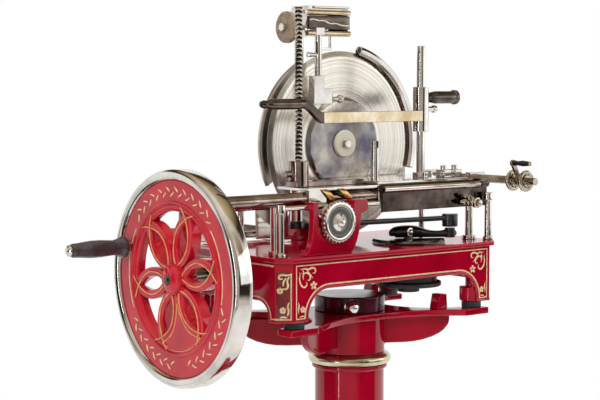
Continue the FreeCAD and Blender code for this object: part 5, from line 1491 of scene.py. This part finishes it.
@dataclass
class Carriage(Assembly):
    """Carriage, apron, meat table, posts, rack and clamps.

    Attributes:
        wipers: left ends of the two rail wipers.
        wiper_width: width of a wiper along the rail.
        lever_turn: length in millimetres over which the lever's strands make one turn.
        lever_strand: radius of a strand.
    """

    wipers: tuple[float, float] = (-147 * MM, -108 * MM)
    wiper_width: float = 15 * MM
    lever_turn: float = 20.0
    lever_strand: float = 2.8 * MM

    def build(self) -> None:
        """Finish the carriage and what stands on it."""
        self.soften({
            "carriage_saddle": (0.8 * MM, CHROME), "carriage_apron": (1 * MM, TARNISHED),
            "meat_table": (1 * MM, CHROME), "rack_bracket": (1.2 * MM, BUFFED),
            "toothed_rack": (0.0, RACKED), "tall_post": (1 * MM, CHROME),
            "meat_pin": (0.8 * MM, CHROME), "table_clamps": (1 * MM, CHROME)})
        self.bend_tongues()
        self.edge_moulding()
        self.twist_levers()

    def bend_tongues(self) -> None:
        """Bend two brass wipers that hang from the carriage in front of the rail."""
        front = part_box("carriage_saddle")[0].y
        top = 1038.0
        bend = ((0, 0.2, 0), (3, 2.2, 2.5), (8, 3.4, 7), (14, 3.6, 13), (20, 2.6, 19),
                (24, 0.6, 24))
        for i, x in enumerate(self.wipers):
            points = [(x + along * MM, front - out * MM, (top - fall) * MM)
                      for along, out, fall in bend]
            self.keep(strip("rail_wiper_%d" % i, points, (self.wiper_width, 0.0, 0.0), 1.4 * MM),
                      "carriage", BRASS, "brushed_steel")

    def edge_moulding(self) -> None:
        """Lay a bright bead along the top of the apron."""
        low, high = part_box("carriage_apron")
        y = low.y + 5.5 * MM
        z = high.z - 8 * MM
        bead = stroke("apron_bead", [(low.x + 1 * MM, y, z), (high.x - 24 * MM, y, z)], 6.4 * MM)
        self.keep(bead, "carriage", CHROME, "chrome")

    def twist_levers(self) -> None:
        """Make the clamp lever: two arms of two twisted strands on one pivot."""
        low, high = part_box("clamp_lever")
        pivot = Vector((low.x + 48 * MM, low.y + 9 * MM, low.z + 10 * MM))
        pieces = [turned("lever_pivot", [
            (0.0, -9 * MM), (5 * MM, -9 * MM), (7 * MM, -7.5 * MM), (7 * MM, -2 * MM),
            (10 * MM, -1 * MM), (10 * MM, 6 * MM), (5 * MM, 7 * MM), (5 * MM, 11.5 * MM),
            (0.0, 11.5 * MM)], tuple(pivot), Axis.BACK, 32)]
        for rise, length in ((0.10, 44.0), (0.42, 40.0)):
            course = Vector((-math.cos(rise), 0.0, math.sin(rise)))
            side = Vector((0, 1, 0))
            over = course.cross(side)
            for turn in (0.0, math.pi):
                points = []
                for k in range(25):
                    along = 6.0 + (length - 8.0) * k / 24
                    swing = turn + 2 * math.pi * along / self.lever_turn
                    away = 4.2 * math.sin(math.pi * (0.12 + 0.8 * k / 24))
                    aside = side * away * math.cos(swing) + over * away * math.sin(swing)
                    points.append(tuple(pivot + (course * along + aside) * MM))
                pieces.append(stroke("lever_strand", points, self.lever_strand, smooth=True))
            tip = pivot + course * (length - 1.0) * MM
            knob = [tuple(tip - course * 3 * MM), tuple(tip), tuple(tip + course * 3 * MM)]
            pieces.append(stroke("lever_tip", knob, 4 * MM, taper=(0.7, 1.0, 0.4), smooth=True))
        whole = joined("twisted_clamp_lever", pieces)
        self.keep(whole, "lever", NICKEL, "nickel")
        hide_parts("clamp_lever")


@dataclass
class CrossFeed(Assembly):
    """Feed screw with its thread, hand rings, crank and grip.

    Attributes:
        pitch: distance from turn to turn of the thread.
        thread: radius at which the thread's ridge runs round the screw.
        thread_start: distance of the thread's start from the screw's front end.
        thread_end: place along Y where the thread ends.
        ridge: radius of the ridge.
    """

    pitch: float = 4.2 * MM
    thread: float = 6.6 * MM
    thread_start: float = 58 * MM
    thread_end: float = -122 * MM
    ridge: float = 1.25 * MM

    def build(self) -> None:
        """Finish the screw and the rings."""
        self.soften({
            "feed_screw": (0.5 * MM, NICKEL), "feed_hand_rings": (0.0, NICKEL),
            "feed_crank_arm": (0.8 * MM, NICKEL), "feed_grip": (0.4 * MM, BLACK)})
        self.cut_thread()

    def cut_thread(self) -> None:
        """Wind the thread's ridge round the screw."""
        low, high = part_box("feed_screw")
        middle = (low + high) / 2
        start = low.y + self.thread_start
        length = self.thread_end - start
        turns = length / self.pitch
        steps = int(turns * 10)
        points = []
        for k in range(steps + 1):
            swing = 2 * math.pi * turns * k / steps
            points.append((middle.x + self.thread * math.cos(swing), start + length * k / steps,
                           middle.z + self.thread * math.sin(swing)))
        self.keep(stroke("feed_thread", points, self.ridge), "cross_feed", NICKEL, "nickel")


@dataclass
class MeatPress(Assembly):
    """Clamp on the tall post, flat bar and the two grips."""

    def build(self) -> None:
        """Finish the press."""
        self.soften({
            # The bar's straw gold tint is a painted reflection.
            "press_clamp": (1 * MM, CHROME), "press_side_grip": (0.6 * MM, STEEL_DARK),
            "press_bar": (1 * MM, STRAW_REFLECTION), "press_grip": (1 * MM, STEEL_DARK)})


@dataclass
class BladeGroup(Assembly):
    """Blade with its hub disc, pillar and guards, and the slice tray.

    Attributes:
        guard_end: direction of the guard's upper end in degrees, from the right upwards.
        plug_reach: distance of the plug's middle from the blade's axis.
        plug: radius of the plug, which stays clear of the blade's edge.
        chute: left and right end of the slice chute.
        chute_place: its place along Y, behind the blade.
        chute_rise: its height.
        chute_lean: how far its top leans back.
    """

    guard_end: float = 76.0
    plug_reach: float = 183.2 * MM
    plug: float = 6 * MM
    chute: tuple[float, float] = (-122 * MM, -46 * MM)
    chute_place: float = 112 * MM
    chute_rise: float = 55 * MM
    chute_lean: float = 3 * MM

    def build(self) -> None:
        """Finish the blade and its guards."""
        low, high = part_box("blade")
        middle = (low + high) / 2
        # Ground blade steel: fine rings from the grinder (drawn coarser), bright satin, with its
        # dish drawn dark as a painted reflection.
        ground = BladeFinish("ground_blade_steel", ("#BDB7AD", "#D3CEC5", "#E8E4DC"), 1.0,
                             (0.2, 0.3), 70 * MM, 20 * MM, 0.05 * MM,
                             centre=tuple(middle), ring=6 * MM)
        self.soften({
            "blade": (0.0, ground), "blade_hub_disc": (0.6 * MM, CREAM),
            "blade_bolt": (0.6 * MM, CHROME), "blade_shaft": (0.6 * MM, STEEL_DARK),
            "blade_pillar": (2 * MM, CRIMSON), "blade_guard": (0.5 * MM, CHROME),
            "deflector_plate": (0.6 * MM, SATIN_SHEET), "slice_tray": (0.8 * MM, SHEET),
            "tray_bars": (0.8 * MM, CHROME)})
        self.bend_chute()
        self.plug_guard(middle)

    def plug_guard(self, middle: Vector) -> None:
        """Close the upper end of the guard's tube with a dark plug.

        Args:
            middle: centre of the blade.
        """
        swing = math.radians(self.guard_end)
        end = middle + Vector((math.cos(swing), 0.0, math.sin(swing))) * self.plug_reach
        back = Vector((math.sin(swing), 0.0, -math.cos(swing))) * 4 * MM
        plug = stroke("guard_plug", [tuple(end + back), tuple(end + back * 0.12)], self.plug)
        self.keep(plug, "stand", RUBBER, "rubber")

    def bend_chute(self) -> None:
        """Bend the sheet that guides the slices down to the tray, with a rolled edge."""
        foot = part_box("tray_bars")[1].z + 1 * MM
        left, right = self.chute
        y, back, top = self.chute_place, self.chute_place + self.chute_lean, foot + self.chute_rise
        sheet = strip("slice_chute", [(left, y, foot), (right, y, foot)],
                      (0.0, self.chute_lean, self.chute_rise), 1.6 * MM)
        roll = stroke("slice_chute_edge", [(left, y, foot), (left, back, top),
                                           (right, back, top)], 1.8 * MM)
        self.keep(joined("slice_chute", [sheet, roll]), "stand", SHEET, "brushed_steel")


@dataclass
class Sharpener(Assembly):
    """Sharpener head on its post, with its stone and honing bracket.

    Attributes:
        face_left: left end of the housing's rolled edges.
        roll: radius of a rolled edge.
        screw_place: place along X of the two screws.
    """

    face_left: float = -74 * MM
    roll: float = 5 * MM
    screw_place: float = -84 * MM

    def build(self) -> None:
        """Finish the sharpener."""
        self.soften({
            "sharpener_post": (1 * MM, CHROME), "sharpener_housing": (1.0 * MM, CHROME),
            "sharpener_stem": (0.8 * MM, CHROME), "sharpening_stone": (0.6 * MM, ABRASIVE)})
        self.face_housing()

    def face_housing(self) -> None:
        """Lay rolled edges, a dark slot and its bent spring on the front of the housing."""
        low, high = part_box("sharpener_housing")
        y = low.y
        left, right = self.face_left, high.x - 1.5 * MM
        rolls = [stroke("housing_roll", [(left, y + 2.5 * MM, z), (right, y + 2.5 * MM, z)],
                        self.roll) for z in (low.z + 6 * MM, high.z - 12 * MM)]
        # The rolled edges' straw gold tint is a painted reflection.
        self.keep(joined("housing_rolls", rolls), "sharpener_head", STRAW_REFLECTION, "chrome")
        edge = [(left + 2 * MM, y - 0.6 * MM, z) for z in (low.z + 13 * MM, high.z - 18 * MM)]
        slot = strip("housing_slot", edge, (right - left - 4 * MM, 0.0, 0.0), 1 * MM)
        self.keep(slot, "sharpener_head", STEEL_DARK, "dark_iron")
        wave = ((2, 30), (12, 32), (24, 28), (36, 30), (50, 23), (64, 25), (80, 20), (96, 21))
        spring = stroke("housing_spring", [(left + u * MM, y - 2.4 * MM, low.z + v * MM)
                                           for u, v in wave], 2.2 * MM, smooth=True)
        self.keep(spring, "sharpener_head", CHROME, "chrome")
        head = [(0.0, 7 * MM), (2.6 * MM, 6.4 * MM), (3.4 * MM, 4 * MM), (3 * MM, 2 * MM),
                (3 * MM, -1 * MM), (0.0, -1 * MM)]
        screws = [turned("housing_screw", head, (self.screw_place, y, z), Axis.FRONT, 20)
                  for z in (high.z - 12 * MM, low.z + 12 * MM)]
        self.keep(joined("housing_screws", screws), "sharpener_head", CHROME, "chrome")


@dataclass
class Studio:
    """Camera, soft lamps, pale room and floor.

    Attributes:
        eye: place of the camera, in metres.
        gaze: direction that it looks in.
        lens: its focal length in millimetres.
        floor_reach: radius of the floor.
    """

    eye: Point = (-1.93405, -2.27184, 1.23049)
    gaze: Point = (0.6248, 0.7772, -0.0748)
    lens: float = 96.0
    floor_reach: float = 2.3

    def build(self) -> None:
        """Make the whole studio."""
        self.camera()
        self.room()
        self.floor()
        self.lamp("key_lamp", (-2.8, -2.0, 3.0), (1.8, 1.8), 84.0)
        self.lamp("side_lamp", (3.0, -0.2, 2.8), (1.4, 1.4), 40.0)
        self.lamp("top_lamp", (0.4, 0.4, 3.6), (2.2, 2.2), 60.0)
        self.lamp("blade_panel_lamp", (1.5, -1.62, 1.32), (2.3, 1.1), 9.4, mirrored=True)
        self.lamp("tall_strip_lamp", (-3.4, -0.95, 1.1), (0.1, 2.4), 10.0, mirrored=True)

    def camera(self) -> None:
        """Place the camera without roll."""
        data = bpy.data.cameras.new("studio_camera")
        data.lens = self.lens
        data.sensor_width = 36.0
        camera = bpy.data.objects.new("studio_camera", data)
        camera.location = self.eye
        camera.rotation_euler = Vector(self.gaze).to_track_quat("-Z", "Y").to_euler()
        bpy.context.scene.collection.objects.link(camera)
        bpy.context.scene.camera = camera

    def lamp(self, name: str, place: Point, size: tuple[float, float], power: float,
             mirrored: bool = False) -> None:
        """Hang a soft oblong lamp that faces the machine.

        Args:
            name: name of the lamp.
            place: where it hangs.
            size: its width and height in metres.
            power: its power in watts.
            mirrored: metal mirrors the lamp itself.
        """
        data = bpy.data.lights.new(name, "AREA")
        data.shape = "RECTANGLE"
        data.size, data.size_y = size
        data.energy = power
        lamp = bpy.data.objects.new(name, data)
        lamp.location = place
        lamp.visible_glossy = mirrored
        aim = Vector((0.0, 0.0, 1.0)) - Vector(place)
        lamp.rotation_euler = aim.to_track_quat("-Z", "Y").to_euler()
        bpy.context.scene.collection.objects.link(lamp)

    def room(self) -> None:
        """White behind the machine, warm and dark round the rest, for what metal mirrors."""
        world = bpy.data.worlds.new("studio_room")
        bpy.context.scene.world = world
        tree = emptied(world)
        rays = add_node(tree, "ShaderNodeLightPath").outputs
        mirror = add_node(tree, "ShaderNodeMath", {"operation": "MAXIMUM"},
                          {0: rays["Is Glossy Ray"], 1: rays["Is Transmission Ray"]})
        fill = add_node(tree, "ShaderNodeBackground", {"Color": linear("#F2F4F8"),
                                                       "Strength": 0.42})
        mirrored = add_node(tree, "ShaderNodeBackground", {"Strength": 1.0},
                            {"Color": self.mirrored(tree)})
        white = add_node(tree, "ShaderNodeBackground", {"Color": linear("#FFFFFF"),
                                                        "Strength": 1.0})
        inner = add_node(tree, "ShaderNodeMixShader", links={
            0: mirror.outputs["Value"], 1: fill.outputs["Background"],
            2: mirrored.outputs["Background"]})
        outer = add_node(tree, "ShaderNodeMixShader", links={
            0: rays["Is Camera Ray"], 1: inner.outputs["Shader"],
            2: white.outputs["Background"]})
        add_node(tree, "ShaderNodeOutputWorld", links={"Surface": outer.outputs["Shader"]})

    def mirrored(self, tree: bpy.types.NodeTree) -> bpy.types.NodeSocket:
        """What metal mirrors: a white backdrop ahead, and walls with windows elsewhere.

        Args:
            tree: the world's nodes.

        Returns:
            The colour socket.
        """
        course = add_node(tree, "ShaderNodeTexCoord").outputs["Generated"]
        height = add_node(tree, "ShaderNodeSeparateXYZ", links={"Vector": course}).outputs["Z"]
        level = add_node(tree, "ShaderNodeMapRange", {"From Min": -1.0, "From Max": 1.0},
                         {"Value": height}).outputs["Result"]
        walls = add_node(tree, "ShaderNodeValToRGB", links={"Fac": level}, stops=(
            (0.0, "#F4F1E8"), (0.35, "#E4DED2"), (0.40, "#3C2E27"), (0.50, "#1A1310"),
            (0.62, "#3A2F28"), (0.72, "#A48C6C"), (0.86, "#D8CDBB"), (1.0, "#F2EFE8")))
        backdrop = add_node(tree, "ShaderNodeValToRGB", links={"Fac": level}, stops=(
            (0.0, "#F6F4EE"), (0.70, "#FFFFFF"), (0.74, "#5A4636"), (0.80, "#33261F"),
            (0.86, "#A8926C"), (0.93, "#CDB88F"), (1.0, "#E8E2D6")))
        stretch = add_node(tree, "ShaderNodeVectorMath",
                           {"operation": "MULTIPLY", 1: (1.0, 1.0, 0.25)}, {0: course})
        blots = add_node(tree, "ShaderNodeTexNoise", {"Scale": 3.2, "Detail": 1.0},
                         {"Vector": stretch.outputs["Vector"]}).outputs["Fac"]
        window = add_node(tree, "ShaderNodeMapRange", {"From Min": 0.55, "From Max": 0.6},
                          {"Value": blots}).outputs["Result"]
        above = add_node(tree, "ShaderNodeMapRange", {"From Min": 0.53, "From Max": 0.56},
                         {"Value": level}).outputs["Result"]
        open_window = add_node(tree, "ShaderNodeMath", {"operation": "MULTIPLY"},
                               {0: window, 1: above}).outputs["Value"]
        room = add_node(tree, "ShaderNodeMix", {"data_type": "RGBA", 7: linear("#E9E4DA")},
                        {0: open_window, 6: walls.outputs["Color"]}).outputs[2]
        door = self.towards(tree, course, (-0.72, -0.69, 0.0), (0.72, 0.9))
        room = add_node(tree, "ShaderNodeMix", {"data_type": "RGBA", 7: linear("#BDB4AB")},
                        {0: door, 6: room}).outputs[2]
        flat = Vector((self.gaze[0], self.gaze[1], 0.0)).normalized()
        ahead = self.towards(tree, course, tuple(flat), (0.02, 0.14))
        return add_node(tree, "ShaderNodeMix", {"data_type": "RGBA"},
                        {0: ahead, 6: room, 7: backdrop.outputs["Color"]}).outputs[2]

    def towards(self, tree: bpy.types.NodeTree, course: bpy.types.NodeSocket,
                direction: Point, limits: tuple[float, float]) -> bpy.types.NodeSocket:
        """Tell how far a ray goes in a direction.

        Args:
            tree: the world's nodes.
            course: socket of the ray's own direction.
            direction: the direction to compare it with.
            limits: cosines at which the share starts to rise and is full.

        Returns:
            The socket of the share, from 0 to 1.
        """
        along = add_node(tree, "ShaderNodeVectorMath",
                         {"operation": "DOT_PRODUCT", 1: direction}, {0: course})
        return add_node(tree, "ShaderNodeMapRange",
                        {"From Min": limits[0], "From Max": limits[1]},
                        {"Value": along.outputs["Value"]}).outputs["Result"]

    def floor(self) -> None:
        """Plain pale floor that keeps the shadow and turns white far from the machine."""
        deselect()
        bpy.ops.mesh.primitive_circle_add(vertices=96, radius=self.floor_reach,
                                          fill_type="NGON", location=(0, 0, 0))
        plane = bpy.context.object
        plane.name = "studio_floor"
        material = bpy.data.materials.new("pale_painted_floor")
        tree = emptied(material)
        place = add_node(tree, "ShaderNodeTexCoord").outputs["Object"]
        far = add_node(tree, "ShaderNodeVectorMath", {"operation": "LENGTH"}, {0: place})
        fade = add_node(tree, "ShaderNodeMapRange", {"From Min": 1.0, "From Max": 2.2},
                        {"Value": far.outputs["Value"]}).outputs["Result"]
        rays = add_node(tree, "ShaderNodeLightPath").outputs
        seen = add_node(tree, "ShaderNodeMath", {"operation": "MULTIPLY"},
                        {0: rays["Is Camera Ray"], 1: fade}).outputs["Value"]
        paint = add_node(tree, "ShaderNodeBsdfPrincipled",
                         {"Base Color": linear("#F1F0EC"), "Roughness": 0.7})
        white = add_node(tree, "ShaderNodeEmission", {"Color": linear("#FFFFFF"), "Strength": 1.0})
        mix = add_node(tree, "ShaderNodeMixShader", links={
            0: seen, 1: paint.outputs["BSDF"], 2: white.outputs["Emission"]})
        add_node(tree, "ShaderNodeOutputMaterial", links={"Surface": mix.outputs["Shader"]})
        plane.data.materials.append(material)


def main() -> None:
    """Load the frame, build every sub-assembly in order and report its pieces."""
    logging.basicConfig(level=logging.INFO, format="%(message)s")
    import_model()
    bpy.context.scene.view_settings.view_transform = "Standard"
    Studio().build()
    for kind in (Pedestal, Base, Flywheel, SliderCrank, Rails, ThicknessDial, Carriage,
                 CrossFeed, MeatPress, BladeGroup, Sharpener):
        assembly = kind()
        assembly.build()
        assembly.report()


if __name__ == "__main__":
    main()
